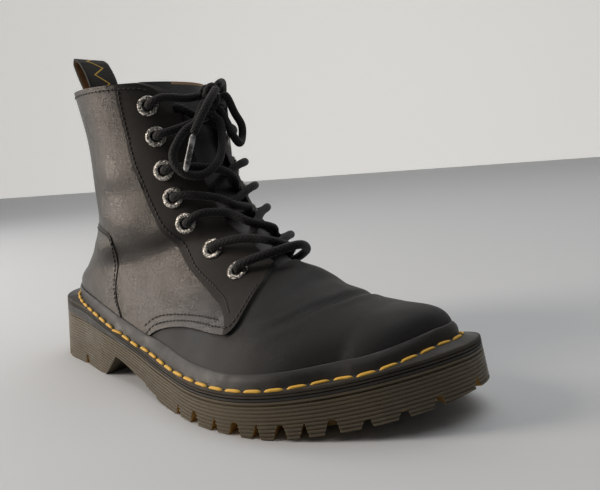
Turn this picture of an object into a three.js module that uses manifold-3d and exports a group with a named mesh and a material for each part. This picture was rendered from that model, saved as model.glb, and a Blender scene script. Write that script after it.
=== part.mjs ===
// A right combat boot with seven pairs of eyelets, its lace tied in a bow.
// +X points to the toe, +Y to the inner side of the foot and +Z up; the floor is at z = 0.
import * as THREE from 'three';
import { mergeVertices } from 'three/addons/utils/BufferGeometryUtils.js';
import Module from 'manifold-3d';

const wasm = await Module();
wasm.setup();
const { clamp, lerp, smoothstep } = THREE.MathUtils;

// Driving dimensions, in millimetres.
const LENGTH = 280;          // welt, from heel to toe
const BALL_WIDTH = 106;      // welt, across the ball
const HEEL_HEIGHT = 41;      // welt seam above the floor at the back
const FOREFOOT_HEIGHT = 19.8;
const TOE_SPRING = 12.9;
const INSTEP_HEIGHT = 77;
const COLLAR_HEIGHT = 168.5;
const WALL = 1.9;            // leather and lining
const OVERLAY = 1.1;         // quarters stand out from the vamp
const STAY = 0.6;            // eyestay and heel counter stand out from the quarters
const THROAT = 24;           // width of the open throat
const CENTRE = 14;           // its middle, to the inner side of the heel's middle
const GAP = 0.3;
const FINEST = 0.16;         // smaller steps than this are left out

const WELT_THICKNESS = 3;
const LIP_HEIGHT = 6.2;
const LIP_THICKNESS = 1.7;
const BAND_DEPTH = 6.4;      // bottom of the dark midsole below the seam
const HEEL_BAND = 4.6;       // how much deeper it is at the heel
const RIB_PITCH = 5;
const RIB_DEPTH = 0.8;
const ARCH_HEIGHT = 13.6;
const HEEL_FLARE = 4.1;
const TOE_FLARE = 5.8;
const SIDE_FLARE = 1.2;
const TOE_TURN = 18.3;       // the toe tip lies this far to the inner side
const LUG_HEIGHT = 6.4;
const LUG_REACH = 13;
const INSOLE_THICKNESS = 3.6;

const TONGUE_THICKNESS = 2.2;
const TONGUE_WIDTH = 50;
const TONGUE_RISE = 0.8;       // above the collar

const EYELET_RADIUS = 6.1;
const EYELET_BORE = 3;
const EYELET_BARREL = 3.8;
const EYELET_RISE = 1.2;
const LACE_RADIUS = 2;

const LOOP_WIDTH = 21;
const LOOP_RISE = 27;
const LOOP_LEAN = 14;
const STRAP = 1.5;

// Half widths of the welt, as shares of the ball width, along its length.
const OUTLINE = [
  { at: 0, outer: 0.297, inner: 0.32 },
  { at: 0.12, outer: 0.307, inner: 0.33 },
  { at: 0.26, outer: 0.366, inner: 0.33 },
  { at: 0.4, outer: 0.401, inner: 0.311 },
  { at: 0.53, outer: 0.468, inner: 0.362 },
  { at: 0.65, outer: 0.52, inner: 0.444 },
  { at: 0.77, outer: 0.478, inner: 0.488 },
  { at: 0.88, outer: 0.37, inner: 0.442 },
  { at: 1, outer: 0.296, inner: 0.354 },
];

// Height of the welt seam: shares of the heel height, forefoot height and toe spring.
const SEAM = [
  { at: 0, heel: 1, fore: 0, toe: 0 },
  { at: 0.2, heel: 0.75, fore: 0.27, toe: 0 },
  { at: 0.45, heel: 0.19, fore: 0.81, toe: 0 },
  { at: 0.68, heel: 0, fore: 1, toe: 0 },
  { at: 0.85, heel: 0, fore: 1, toe: 0.36 },
  { at: 1, heel: 0, fore: 1, toe: 1.14 },
];

// Sections of the foot and shaft. Each lies in a plane across the boot, from its back or bottom
// (x, level) to its front or top (topX, topLevel). Levels run 0 at the floor, 1 at the instep and
// 2 at the collar; x is a share of the length, and the widths are shares of the ball width.
const SECTIONS = [
  { x: 0.095, level: 2.083, topX: 0.379, topLevel: 2.104, widest: 0.54, outer: 0.376, inner: 0.34,
    shift: 0.081, topShift: 1, bottomPower: 2, topPower: 2 },
  { x: 0.116, level: 1.69, topX: 0.423, topLevel: 1.716, widest: 0.51, outer: 0.343, inner: 0.326,
    shift: 0.087, topShift: 1, bottomPower: 2, topPower: 2.1 },
  { x: 0.127, level: 1.356, topX: 0.457, topLevel: 1.463, widest: 0.47, outer: 0.339, inner: 0.327,
    shift: 0.08, topShift: 1, bottomPower: 2, topPower: 2.15 },
  { x: 0.128, level: 1.106, topX: 0.49, topLevel: 1.283, widest: 0.44, outer: 0.338, inner: 0.331,
    shift: 0.075, topShift: 1, bottomPower: 1.95, topPower: 2.15 },
  { x: 0.11, level: 0.908, topX: 0.524, topLevel: 1.15, widest: 0.42, outer: 0.346, inner: 0.341,
    shift: 0.059, topShift: 1, bottomPower: 1.95, topPower: 2.1 },
  { x: 0.062, level: 0.744, topX: 0.561, topLevel: 1.081, widest: 0.39, outer: 0.298, inner: 0.333,
    shift: 0.038, topShift: 1, bottomPower: 2.05, topPower: 2.05 },
  { x: 0.029, level: 0.565, topX: 0.599, topLevel: 1.028, widest: 0.43, outer: 0.289, inner: 0.303,
    shift: 0.011, topShift: 1, bottomPower: 2.2, topPower: 2.05 },
  { x: 0.167, level: 0.21, topX: 0.633, topLevel: 0.944, widest: 0.41, outer: 0.342, inner: 0.237,
    shift: -0.024, topShift: 0.97, bottomPower: 2.5, topPower: 1.9 },
  { x: 0.342, level: 0.034, topX: 0.665, topLevel: 0.87, widest: 0.42, outer: 0.395, inner: 0.244,
    shift: -0.032, topShift: 0.92, bottomPower: 2.8, topPower: 1.9 },
  { x: 0.506, level: -0.044, topX: 0.709, topLevel: 0.83, widest: 0.42, outer: 0.476, inner: 0.315,
    shift: -0.024, topShift: 0.85, bottomPower: 3, topPower: 1.95 },
  { x: 0.653, level: -0.09, topX: 0.744, topLevel: 0.758, widest: 0.42, outer: 0.502, inner: 0.375,
    shift: -0.021, topShift: 0.74, bottomPower: 3, topPower: 2 },
  { x: 0.769, level: -0.104, topX: 0.803, topLevel: 0.681, widest: 0.44, outer: 0.454, inner: 0.404,
    shift: -0.008, topShift: 0.67, bottomPower: 3, topPower: 2.1 },
  { x: 0.866, level: 0.014, topX: 0.866, topLevel: 0.64, widest: 0.46, outer: 0.309, inner: 0.342,
    shift: 0.013, topShift: 0.86, bottomPower: 3, topPower: 2.4 },
];
const LAST_SECTION = SECTIONS.length - 1;
const TOE_TIP = 0.966;       // the toe cap ends here, as a share of the length
const TOE_SHIFT = 11.3;
const TOE_FLOOR = 0.21;      // level towards which the toe cap closes

// Pairs of eyelets: their place along the sections, and how far they are from the throat's middle.
const EYELETS = [
  { place: 0.63, span: 0.2642 * BALL_WIDTH },
  { place: 1.18, span: 0.2689 * BALL_WIDTH },
  { place: 2, span: 0.2877 * BALL_WIDTH },
  { place: 2.86, span: 0.2972 * BALL_WIDTH },
  { place: 3.94, span: 0.3019 * BALL_WIDTH },
  { place: 6.06, span: 0.3113 * BALL_WIDTH },
  { place: 7.36, span: 0.2736 * BALL_WIDTH },
];

// Notches between the lugs, placed by shares of the length. The toe's are low.
const NOTCHES = [
  { at: 0.068, width: 3, height: LUG_HEIGHT },
  { at: 0.168, width: 5, height: LUG_HEIGHT },
  { at: 0.584, width: 3.4, height: LUG_HEIGHT },
  { at: 0.638, width: 5, height: LUG_HEIGHT },
  { at: 0.688, width: 3.2, height: LUG_HEIGHT },
  { at: 0.729, width: 5, height: LUG_HEIGHT },
  { at: 0.767, width: 3.2, height: LUG_HEIGHT },
  { at: 0.803, width: 5, height: LUG_HEIGHT },
  { at: 0.833, width: 3.2, height: LUG_HEIGHT },
  { at: 0.866, width: 5.6, height: LUG_HEIGHT },
  { at: 0.905, width: 4.4, height: 0.562 * LUG_HEIGHT },
  { at: 0.944, width: 4.6, height: 0.5 * LUG_HEIGHT },
  { at: 0.977, width: 4.4, height: 0.531 * LUG_HEIGHT },
  { at: 1, width: 4, height: 0.562 * LUG_HEIGHT },
];

// Numbers and curves.

const column = (table, name) => table.map((row) => row[name]);

function curve(at, value) {
  const last = at.length - 1;
  const slope = at.map((_, i) => {
    const a = Math.max(i - 1, 0);
    const b = Math.min(i + 1, last);
    return (value[b] - value[a]) / (at[b] - at[a]);
  });
  return (x) => {
    const t = clamp(x, at[0], at[last]);
    const i = clamp(at.findIndex((a) => a > t) - 1, 0, last - 1);
    const k = t >= at[last] ? last - 1 : i;
    const span = at[k + 1] - at[k];
    const u = (t - at[k]) / span;
    const rise = u * u * (3 - 2 * u);
    const start = u * (1 - u) * (1 - u) * span * slope[k];
    const end = u * u * (u - 1) * span * slope[k + 1];
    return lerp(value[k], value[k + 1], rise) + start + end;
  };
}

const outerHalf = curve(column(OUTLINE, 'at'), column(OUTLINE, 'outer'));
const innerHalf = curve(column(OUTLINE, 'at'), column(OUTLINE, 'inner'));
const seamCurve = curve(column(SEAM, 'at'), SEAM.map(
  (row) => row.heel * HEEL_HEIGHT + row.fore * FOREFOOT_HEIGHT + row.toe * TOE_SPRING));
const seam = (x) => seamCurve(x / LENGTH);
const level = (share) => (share <= 1
  ? share * INSTEP_HEIGHT
  : INSTEP_HEIGHT + (share - 1) * (COLLAR_HEIGHT - INSTEP_HEIGHT));
const floorAt = (x) => TOE_SPRING * clamp((x / LENGTH - 0.74) / 0.26, 0, 1.2) ** 2;

// Solids: closed bodies from rings of points, prisms, tubes, and their cuts and joins.

function body(points, triangles) {
  const geometry = new THREE.BufferGeometry();
  const flat = points.flatMap((p) => [p.x, p.y, p.z]);
  geometry.setAttribute('position', new THREE.Float32BufferAttribute(flat, 3));
  let volume = 0;
  const cross = new THREE.Vector3();
  for (const [a, b, c] of triangles) volume += cross.crossVectors(points[a], points[b]).dot(points[c]);
  geometry.setIndex(triangles.flatMap(([a, b, c]) => (volume > 0 ? [a, b, c] : [a, c, b])));
  return geometry;
}

// Sides between neighbouring rings, with a strip of faces across each end or back to the first.
function loft(rings, endless = false) {
  const count = rings[0].length;
  const half = count / 2;
  const triangles = [];
  const strip = (base, flip) => {
    for (let j = 0; j < half; j++) {
      const quad = [j, j + 1, (count - j - 1) % count, (count - j) % count].map((k) => base + (k % count));
      const faces = [[quad[0], quad[1], quad[2]], [quad[0], quad[2], quad[3]]];
      for (const f of faces) {
        if (new Set(f).size === 3) triangles.push(flip ? [f[0], f[2], f[1]] : f);
      }
    }
  };
  const steps = endless ? rings.length : rings.length - 1;
  for (let i = 0; i < steps; i++) {
    const a = i * count;
    const b = ((i + 1) % rings.length) * count;
    for (let j = 0; j < count; j++) {
      const k = (j + 1) % count;
      triangles.push([a + j, a + k, b + k], [a + j, b + k, b + j]);
    }
  }
  if (!endless) {
    strip(0, true);
    strip((rings.length - 1) * count, false);
  }
  return body(rings.flat(), triangles);
}

function merged(geometry) {
  const clean = geometry.clone();
  clean.deleteAttribute('normal');
  clean.deleteAttribute('uv');
  return mergeVertices(clean, 1e-5);
}

function toSolid(geometry) {
  const closed = merged(geometry);
  const mesh = new wasm.Mesh({
    numProp: 3,
    vertProperties: new Float32Array(closed.attributes.position.array),
    triVerts: new Uint32Array(closed.index.array),
  });
  return new wasm.Manifold(mesh);
}

function fromSolid(solid) {
  const mesh = solid.simplify(FINEST).getMesh();
  const geometry = new THREE.BufferGeometry();
  geometry.setAttribute('position', new THREE.BufferAttribute(mesh.vertProperties, 3));
  geometry.setIndex([...mesh.triVerts]);
  return geometry;
}

const combine = (first, others, how) => fromSolid(
  others.reduce((solid, other) => solid[how](toSolid(other)), toSolid(first)));
const cut = (first, ...others) => combine(first, others, 'subtract');
const join = (first, ...others) => combine(first, others, 'add');
const meet = (first, ...others) => combine(first, others, 'intersect');

// An outline seen from the side, as [x, z] points, carried across the boot between two y values.
function prism(points, fromY, toY) {
  const shape = new THREE.Shape(points.map(([x, z]) => new THREE.Vector2(x, z)));
  const geometry = new THREE.ExtrudeGeometry(shape, { depth: toY - fromY, bevelEnabled: false });
  return geometry.rotateX(Math.PI / 2).translate(0, toY, 0);
}

// Everything between two heights that follow the seam.
function sideBand(low, high) {
  const xs = Array.from({ length: 19 }, (_, i) => LENGTH * (-0.04 + 1.08 * i / 18));
  const line = (lift) => xs.map((x) => [x, seam(x) + lift]);
  return prism([...line(low), ...line(high).reverse()], -BALL_WIDTH, BALL_WIDTH);
}

const along = (points) => new THREE.CatmullRomCurve3(points.map((p) => p.clone()), false, 'centripetal');

function tube(path, radius, steps, sides = 8) {
  const circle = Array.from({ length: sides }, (_, i) => {
    const turn = 2 * Math.PI * (i + 0.5) / sides;
    return new THREE.Vector2(radius * Math.cos(turn), radius * Math.sin(turn));
  });
  return new THREE.ExtrudeGeometry(new THREE.Shape(circle), { steps, extrudePath: path, bevelEnabled: false });
}

// The last: the surface of the foot and shaft that the upper, tongue and insole are made on.

function sectionAt(place) {
  const t = clamp(place, 0, LAST_SECTION);
  const i = Math.min(Math.floor(t), LAST_SECTION - 1);
  const f = t - i;
  const row = (k) => SECTIONS[clamp(k, 0, LAST_SECTION)];
  const section = {};
  for (const name of Object.keys(SECTIONS[0])) {
    const b = row(i)[name];
    const c = row(i + 1)[name];
    const a = i === 0 ? 2 * b - c : row(i - 1)[name];
    const d = i === LAST_SECTION - 1 ? 2 * c - b : row(i + 2)[name];
    section[name] = 0.5 * (2 * b + (c - a) * f + (2 * a - 5 * b + 4 * c - d) * f * f
      + (3 * b - a - 3 * c + d) * f * f * f);
  }
  return section;
}

// Past the last section the toe cap closes towards its tip.
function sized(place) {
  const s = sectionAt(place);
  const size = {
    x: s.x * LENGTH, z: level(s.level), topX: s.topX * LENGTH, topZ: level(s.topLevel),
    widest: s.widest, outer: s.outer * BALL_WIDTH, inner: s.inner * BALL_WIDTH,
    shift: s.shift * BALL_WIDTH, topShift: s.topShift * CENTRE,
    bottomPower: s.bottomPower, topPower: s.topPower,
  };
  if (place > LAST_SECTION) {
    const t = Math.min(place - LAST_SECTION, 0.9995);
    const narrow = (1 - t ** 1.8) ** (1 / 1.8);
    const low = (1 - t ** 4.5) ** (1 / 4.5);
    const base = level(TOE_FLOOR);
    size.x = lerp(size.x, TOE_TIP * LENGTH, t);
    size.topX = size.x;
    size.outer *= narrow;
    size.inner *= narrow;
    size.shift += TOE_SHIFT * t * t;
    size.topShift += TOE_SHIFT * t * t;
    size.z = lerp(base, size.z, low);
    size.topZ = lerp(base, size.topZ, low);
  }
  return size;
}

function bare(place, turn) {
  const s = sized(place);
  const c = Math.cos(turn);
  const power = 2 / (c >= 0 ? s.topPower : s.bottomPower);
  const reach = Math.abs(c) ** power;
  const share = c >= 0 ? s.widest + (1 - s.widest) * reach : s.widest * (1 - reach);
  const width = Math.abs(Math.sin(turn)) ** power * (turn > 0 ? -s.outer : s.inner);
  return new THREE.Vector3(
    lerp(s.x, s.topX, share),
    lerp(s.shift, s.topShift, share * share * (3 - 2 * share)) + width,
    lerp(s.z, s.topZ, share));
}

function normalAt(place, turn) {
  const d = 0.03;
  const endsAt = LAST_SECTION + 0.96;
  const p = clamp(place, d, endsAt);
  const along1 = bare(p + d, turn).sub(bare(p - d, turn));
  const t = turn === 0 ? 1e-6 : turn;
  const around = bare(p, t + d).sub(bare(p, t - d));
  return around.cross(along1).normalize();
}

const lastPoint = (place, turn, lift = 0) => bare(place, turn).addScaledVector(normalAt(place, turn), lift);

const AROUND = 30;
const PLACES = [0, 0.9, 1.8, 2.7, 3.5, 4.3, 5.1, 5.9, 6.7, 7.5, 8.3, 9.1, 9.9, 10.7, 11.4, 12, 12.4, 12.7,
  12.88, 12.98];

function lastSolid(lift) {
  return loft(PLACES.map((place) => Array.from({ length: AROUND }, (_, j) => {
    const turn = Math.PI * (2 * j / AROUND - 1);
    return lastPoint(place, turn, typeof lift === 'function' ? lift(place) : lift);
  })));
}

// A point over the front of the boot: its section, how far round it is from the throat's middle
// to the inner side, and its lift.
function onFront(place, across, lift = 0) {
  let low = -Math.PI / 2;
  let high = Math.PI / 2;
  for (let i = 0; i < 40; i++) {
    const turn = (low + high) / 2;
    if (bare(place, turn).y > CENTRE) low = turn;
    else high = turn;
  }
  const step = -Math.sign(across) * 0.01;
  let turn = low;
  let last = bare(place, turn);
  for (let left = Math.abs(across); left > 0;) {
    const next = bare(place, turn + step);
    const stride = next.distanceTo(last);
    turn += step * Math.min(1, left / stride);
    left -= stride;
    last = next;
  }
  return { point: lastPoint(place, turn, lift), normal: normalAt(place, turn) };
}

// The sole's outline, with a flare that grows towards the floor.

const SIDES = 38;

function outlinePoint(turn) {
  const u = (1 - Math.cos(turn)) / 2;
  const back = clamp(1 - u / 0.115, 0, 1);
  const front = clamp(1 - (1 - u) / 0.2, 0, 1);
  const ends = (1 - back ** 2.3) ** (1 / 2.3) * (1 - front ** 2.4) ** (1 / 2.4);
  const outer = turn <= Math.PI;
  const half = (outer ? -outerHalf(u) : innerHalf(u)) * BALL_WIDTH * ends;
  return new THREE.Vector2(u * LENGTH, half + TOE_TURN * clamp((u - 0.7) / 0.3, 0, 1) ** 2);
}

function outlineAt(turn, inset, flare = 0) {
  const d = 0.02;
  const p = outlinePoint(turn);
  const ahead = outlinePoint((turn + d) % (2 * Math.PI));
  const behind = outlinePoint((turn - d + 2 * Math.PI) % (2 * Math.PI));
  const side = ahead.sub(behind).normalize();
  const into = inset - SIDE_FLARE * flare;
  const x = p.x - side.y * into;
  const y = p.y + side.x * into;
  const heel = HEEL_FLARE * clamp(1 - x / (0.215 * LENGTH), 0, 1);
  const toe = TOE_FLARE * clamp((x / LENGTH - 0.8) / 0.2, 0, 1);
  return new THREE.Vector2(x + (toe - heel) * flare, y);
}

// A ring round the sole at a depth below the seam, or above it where the depth is negative.
function soleRing(inset, depth) {
  return Array.from({ length: SIDES }, (_, i) => {
    const turn = 2 * Math.PI * i / SIDES;
    const x0 = outlinePoint(turn).x;
    const d = typeof depth === 'function' ? depth(x0) : depth;
    const k = typeof inset === 'function' ? inset(x0) : inset;
    const p = outlineAt(turn, k, clamp(d / seam(x0), 0, 1));
    return new THREE.Vector3(p.x, p.y, seam(x0) - d);
  });
}

const bandDepth = (x) => BAND_DEPTH + HEEL_BAND * (1 - smoothstep(x / LENGTH, 0.03, 0.36));

// How far the upper stands in from the rim.
const upperInset = curve([0, 0.09, 0.25, 0.8, 0.935, 1], [11.5, 10, 6.5, 6.3, 8, 10]);

function lugCutter(turn, width, height) {
  const foot = outlineAt(turn, 0, 1);
  const ahead = outlineAt(turn + 0.02, 0, 1).sub(outlineAt(turn - 0.02, 0, 1)).normalize();
  const base = floorAt(foot.x);
  const crown = width * (width > 4 ? 0.27 : 0.12);
  const shape = new THREE.Shape([
    new THREE.Vector2(-width / 2 - 1.6, -3),
    new THREE.Vector2(width / 2 + 1.6, -3),
    new THREE.Vector2(crown, height),
    new THREE.Vector2(-crown, height),
  ]);
  const cutter = new THREE.ExtrudeGeometry(shape, { depth: LUG_REACH + 4, bevelEnabled: false });
  const sideways = new THREE.Vector3(ahead.x, ahead.y, 0);
  const up = new THREE.Vector3(0, 0, 1);
  const inward = new THREE.Vector3(-ahead.y, ahead.x, 0);
  const right = new THREE.Vector3().crossVectors(up, inward);
  if (right.dot(sideways) < 0) right.negate();
  const place = new THREE.Matrix4().makeBasis(new THREE.Vector3().crossVectors(up, inward), up, inward);
  place.setPosition(foot.x - inward.x * 4, foot.y - inward.y * 4, base);
  return cutter.applyMatrix4(place);
}

function outsole() {
  const top = (x) => bandDepth(x) + GAP;
  const rings = [soleRing(0.6, top)];
  const ribs = Math.ceil((HEEL_HEIGHT - BAND_DEPTH) / RIB_PITCH);
  for (let k = 0; k < ribs; k++) {
    rings.push(soleRing(0, (x) => top(x) + (k + 0.3) * RIB_PITCH));
    rings.push(soleRing(RIB_DEPTH, (x) => top(x) + (k + 0.8) * RIB_PITCH));
  }
  rings.push(soleRing(0, (x) => top(x) + (ribs + 1) * RIB_PITCH));
  const toe = Array.from({ length: 9 }, (_, i) => LENGTH * (0.74 + 0.3 * i / 8));
  const profile = prism([
    [-0.1 * LENGTH, 0],
    [0.267 * LENGTH, 0],
    [0.318 * LENGTH, ARCH_HEIGHT],
    [0.4 * LENGTH, 0.61 * ARCH_HEIGHT],
    [0.52 * LENGTH, 0],
    ...toe.map((x) => [x, floorAt(x)]),
    [1.1 * LENGTH, 2 * HEEL_HEIGHT],
    [-0.1 * LENGTH, 2 * HEEL_HEIGHT],
  ], -BALL_WIDTH, BALL_WIDTH);
  const sole = meet(loft(rings), profile);
  const cutters = NOTCHES.flatMap(({ at, width, height }) => {
    const turn = Math.acos(1 - 2 * at);
    const turns = at < 1 ? [turn, 2 * Math.PI - turn] : [turn];
    return turns.map((side) => lugCutter(side, width, height));
  });
  const slots = [0.625, 0.7, 0.775, 0.85, 0.1].map((at) => {
    const x = at * LENGTH;
    const base = floorAt(x);
    const points = [[x - 2, base - 3], [x + 2, base - 3], [x + 1.4, base + 4], [x - 1.4, base + 4]];
    return prism(points, -0.2 * BALL_WIDTH, 0.2 * BALL_WIDTH);
  });
  return cut(sole, ...cutters, ...slots);
}

function midsole() {
  const top = WELT_THICKNESS + GAP;
  const rows = [
    { inset: 0.8, share: 0 },
    { inset: 0, share: 0.16 },
    { inset: 0, share: 0.4 },
    { inset: 0.7, share: 0.52 },
    { inset: 0, share: 0.64 },
    { inset: 0.4, share: 1 },
  ];
  return loft(rows.map(({ inset, share }) => soleRing(inset, (x) => lerp(top, bandDepth(x), share))));
}

// The quarters' and eyestay's edges, seen from the side; behind them lies each overlay.
const FRONT_EDGE = [
  [0.421, 0.26], [0.424, 0.34], [0.437, 0.395], [0.467, 0.452], [0.521, 0.493], [0.584, 0.512],
  [0.648, 0.52], [0.672, 0.532], [0.682, 0.58], [0.681, 0.65], [0.675, 0.73], [0.667, 0.79],
  [0.65, 0.86], [0.65, 1.2],
];
const STAY_EDGE = [
  [0.318, 2.2], [0.321, 1.97], [0.325, 1.87], [0.334, 1.73], [0.345, 1.56], [0.361, 1.42],
  [0.384, 1.26], [0.413, 1.11], [0.445, 0.96], [0.492, 0.82], [0.57, 0.69], [0.625, 0.635],
  [0.655, 0.58], [0.668, 0.5],
];
const COUNTER_EDGE = [
  [0.335, 0.4], [0.319, 0.49], [0.295, 0.57], [0.278, 0.655], [0.27, 0.775], [0.272, 0.88],
  [0.282, 0.985], [0.273, 1.065], [0.232, 1.1], [0.18, 1.12], [0.12, 1.13], [0.05, 1.13],
];
const sideways = (points) => points.map(([x, z]) => [x * LENGTH, level(z)]);

function eyelets() {
  return EYELETS.flatMap(({ place, span }, i) => [-1, 1].map((side) => {
    const { point, normal } = onFront(place, side * span, OVERLAY + STAY + GAP);
    return { name: `eyelet_${side < 0 ? 'outer' : 'inner'}_${i + 1}`, point, normal };
  }));
}

const upright = (normal) => new THREE.Quaternion().setFromUnitVectors(new THREE.Vector3(0, 1, 0), normal);

function upper() {
  const inside = lastSolid(-WALL);
  const outside = BALL_WIDTH;
  const halfThroat = THROAT / 2;
  const back = [[-0.1 * LENGTH, 2.5 * COLLAR_HEIGHT], [-0.1 * LENGTH, -COLLAR_HEIGHT]];
  const quarterEdge = [...sideways(FRONT_EDGE), [0.65 * LENGTH, 2.5 * COLLAR_HEIGHT], ...back,
    [0.421 * LENGTH, -COLLAR_HEIGHT]];
  const stayEdge = [...sideways(STAY_EDGE), [0.668 * LENGTH, 0], [0.95 * LENGTH, 0],
    [0.95 * LENGTH, 2 * COLLAR_HEIGHT], [0.318 * LENGTH, 2 * COLLAR_HEIGHT]];
  const counterEdge = [[0.335 * LENGTH, 0], ...sideways(COUNTER_EDGE),
    [-0.1 * LENGTH, level(1.13)], [-0.1 * LENGTH, 0]];
  const bothSides = (edge, clear) => join(
    prism(edge, -outside, CENTRE - clear), prism(edge, CENTRE + clear, outside));
  const shell = lastSolid(0);
  const quarters = meet(lastSolid(OVERLAY), bothSides(quarterEdge, halfThroat));
  const thick = lastSolid(OVERLAY + STAY);
  const stays = meet(thick, bothSides(stayEdge, halfThroat), bothSides(quarterEdge, halfThroat));
  const counter = meet(thick, prism(counterEdge, -outside, outside));
  const strip = meet(thick, prism([
    [-0.1 * LENGTH, 0], [0.2 * LENGTH, 0], [0.2 * LENGTH, 2 * COLLAR_HEIGHT],
    [-0.1 * LENGTH, 2 * COLLAR_HEIGHT]], CENTRE / 2 - LOOP_WIDTH / 2, CENTRE / 2 + LOOP_WIDTH / 2));
  const throat = prism([
    [0.2 * LENGTH, 2 * COLLAR_HEIGHT], [0.28 * LENGTH, level(2)], [0.3 * LENGTH, level(1.6)],
    [0.36 * LENGTH, level(1.2)], [0.46 * LENGTH, level(0.9)], [0.58 * LENGTH, level(0.72)],
    [0.648 * LENGTH, level(0.7)], [0.66 * LENGTH, level(0.76)], [0.662 * LENGTH, level(1)],
    [0.662 * LENGTH, 2 * COLLAR_HEIGHT]], CENTRE - halfThroat, CENTRE + halfThroat);
  const collar = prism([
    [-0.1 * LENGTH, COLLAR_HEIGHT], [0.355 * LENGTH, COLLAR_HEIGHT],
    [0.372 * LENGTH, level(1.975)], [0.384 * LENGTH, level(1.94)], [0.392 * LENGTH, level(1.88)],
    [0.4 * LENGTH, level(1.8)], [0.7 * LENGTH, level(1.8)], [0.7 * LENGTH, 2 * COLLAR_HEIGHT],
    [-0.1 * LENGTH, 2 * COLLAR_HEIGHT]], -outside, outside);
  const holes = eyelets().flatMap(({ point, normal }) => {
    const bore = new THREE.CylinderGeometry(EYELET_BARREL + GAP, EYELET_BARREL + GAP, 16, 8);
    const seat = new THREE.CylinderGeometry(EYELET_RADIUS + GAP, EYELET_RADIUS + GAP, 6, 8)
      .translate(0, 3 - GAP, 0);
    return [bore, seat].map((form) => form.applyQuaternion(upright(normal))
      .translate(point.x, point.y, point.z));
  });
  const solid = join(shell, quarters, stays, counter, strip);
  const above = sideBand(-WELT_THICKNESS, 2 * COLLAR_HEIGHT);
  return meet(cut(solid, inside, throat, collar, ...holes), above);
}

// The surface that the welt keeps clear of.
function outerForm(clear) {
  const quarterEdge = [...sideways(FRONT_EDGE), [-0.1 * LENGTH, level(1.2)], [-0.1 * LENGTH, -COLLAR_HEIGHT],
    [0.421 * LENGTH, -COLLAR_HEIGHT]];
  const counterEdge = [[0.335 * LENGTH, 0], ...sideways(COUNTER_EDGE),
    [-0.1 * LENGTH, level(1.13)], [-0.1 * LENGTH, 0]];
  const swell = (edge) => edge.map(([x, z]) => [x + (x > 0 ? 2 * GAP : 0), z]);
  return join(
    lastSolid(clear),
    meet(lastSolid(clear + OVERLAY), prism(swell(quarterEdge), -BALL_WIDTH, BALL_WIDTH)),
    meet(lastSolid(clear + OVERLAY + STAY), prism(swell(counterEdge), -BALL_WIDTH, BALL_WIDTH)));
}

function welt() {
  const inner = (x) => upperInset(x / LENGTH);
  const rows = [
    { inset: 1, depth: WELT_THICKNESS },
    { inset: 0, depth: 0.75 * WELT_THICKNESS },
    { inset: 0.1, depth: 0.5 * WELT_THICKNESS },
    { inset: 1.4, depth: 0 },
    { inset: (x) => inner(x) + 3.5, depth: 0 },
    { inset: (x) => inner(x) + 3.5, depth: WELT_THICKNESS },
  ];
  const ledge = loft(rows.map(({ inset, depth }) => soleRing(inset, depth)), true);
  const swell = (place) => GAP + LIP_THICKNESS + OVERLAY * (1 - smoothstep(place, 8, 9));
  const lip = meet(lastSolid(swell), sideBand(-WELT_THICKNESS / 2, LIP_HEIGHT));
  return cut(join(ledge, lip), outerForm(GAP));
}

function insole() {
  return meet(lastSolid(-WALL - GAP), sideBand(-WELT_THICKNESS, INSOLE_THICKNESS - WELT_THICKNESS));
}

function tongue() {
  const outer = lastSolid(-WALL - GAP);
  const inner = lastSolid(-WALL - GAP - TONGUE_THICKNESS);
  const region = prism([
    [0.3 * LENGTH, COLLAR_HEIGHT + TONGUE_RISE], [0.345 * LENGTH, level(1.6)],
    [0.39 * LENGTH, level(1.28)], [0.46 * LENGTH, level(0.98)], [0.53 * LENGTH, level(0.84)],
    [0.6 * LENGTH, level(0.74)], [0.72 * LENGTH, level(0.68)], [0.72 * LENGTH, level(1)],
    [0.65 * LENGTH, level(1.1)], [0.5 * LENGTH, level(1.6)],
    [0.5 * LENGTH, COLLAR_HEIGHT + TONGUE_RISE]],
  CENTRE - TONGUE_WIDTH / 2, CENTRE + TONGUE_WIDTH / 2);
  return cut(meet(outer, region), inner);
}

function eyeletRing() {
  const profile = [
    [EYELET_BORE, -WALL - OVERLAY],
    [EYELET_BARREL, -WALL - OVERLAY],
    [EYELET_BARREL, 0],
    [EYELET_RADIUS, 0],
    [0.8 * EYELET_RADIUS, EYELET_RISE],
    [EYELET_BORE, EYELET_RISE],
  ];
  const points = [...profile, profile[0]].map(([r, z]) => new THREE.Vector2(r, z));
  return new THREE.LatheGeometry(points, 8);
}

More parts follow.
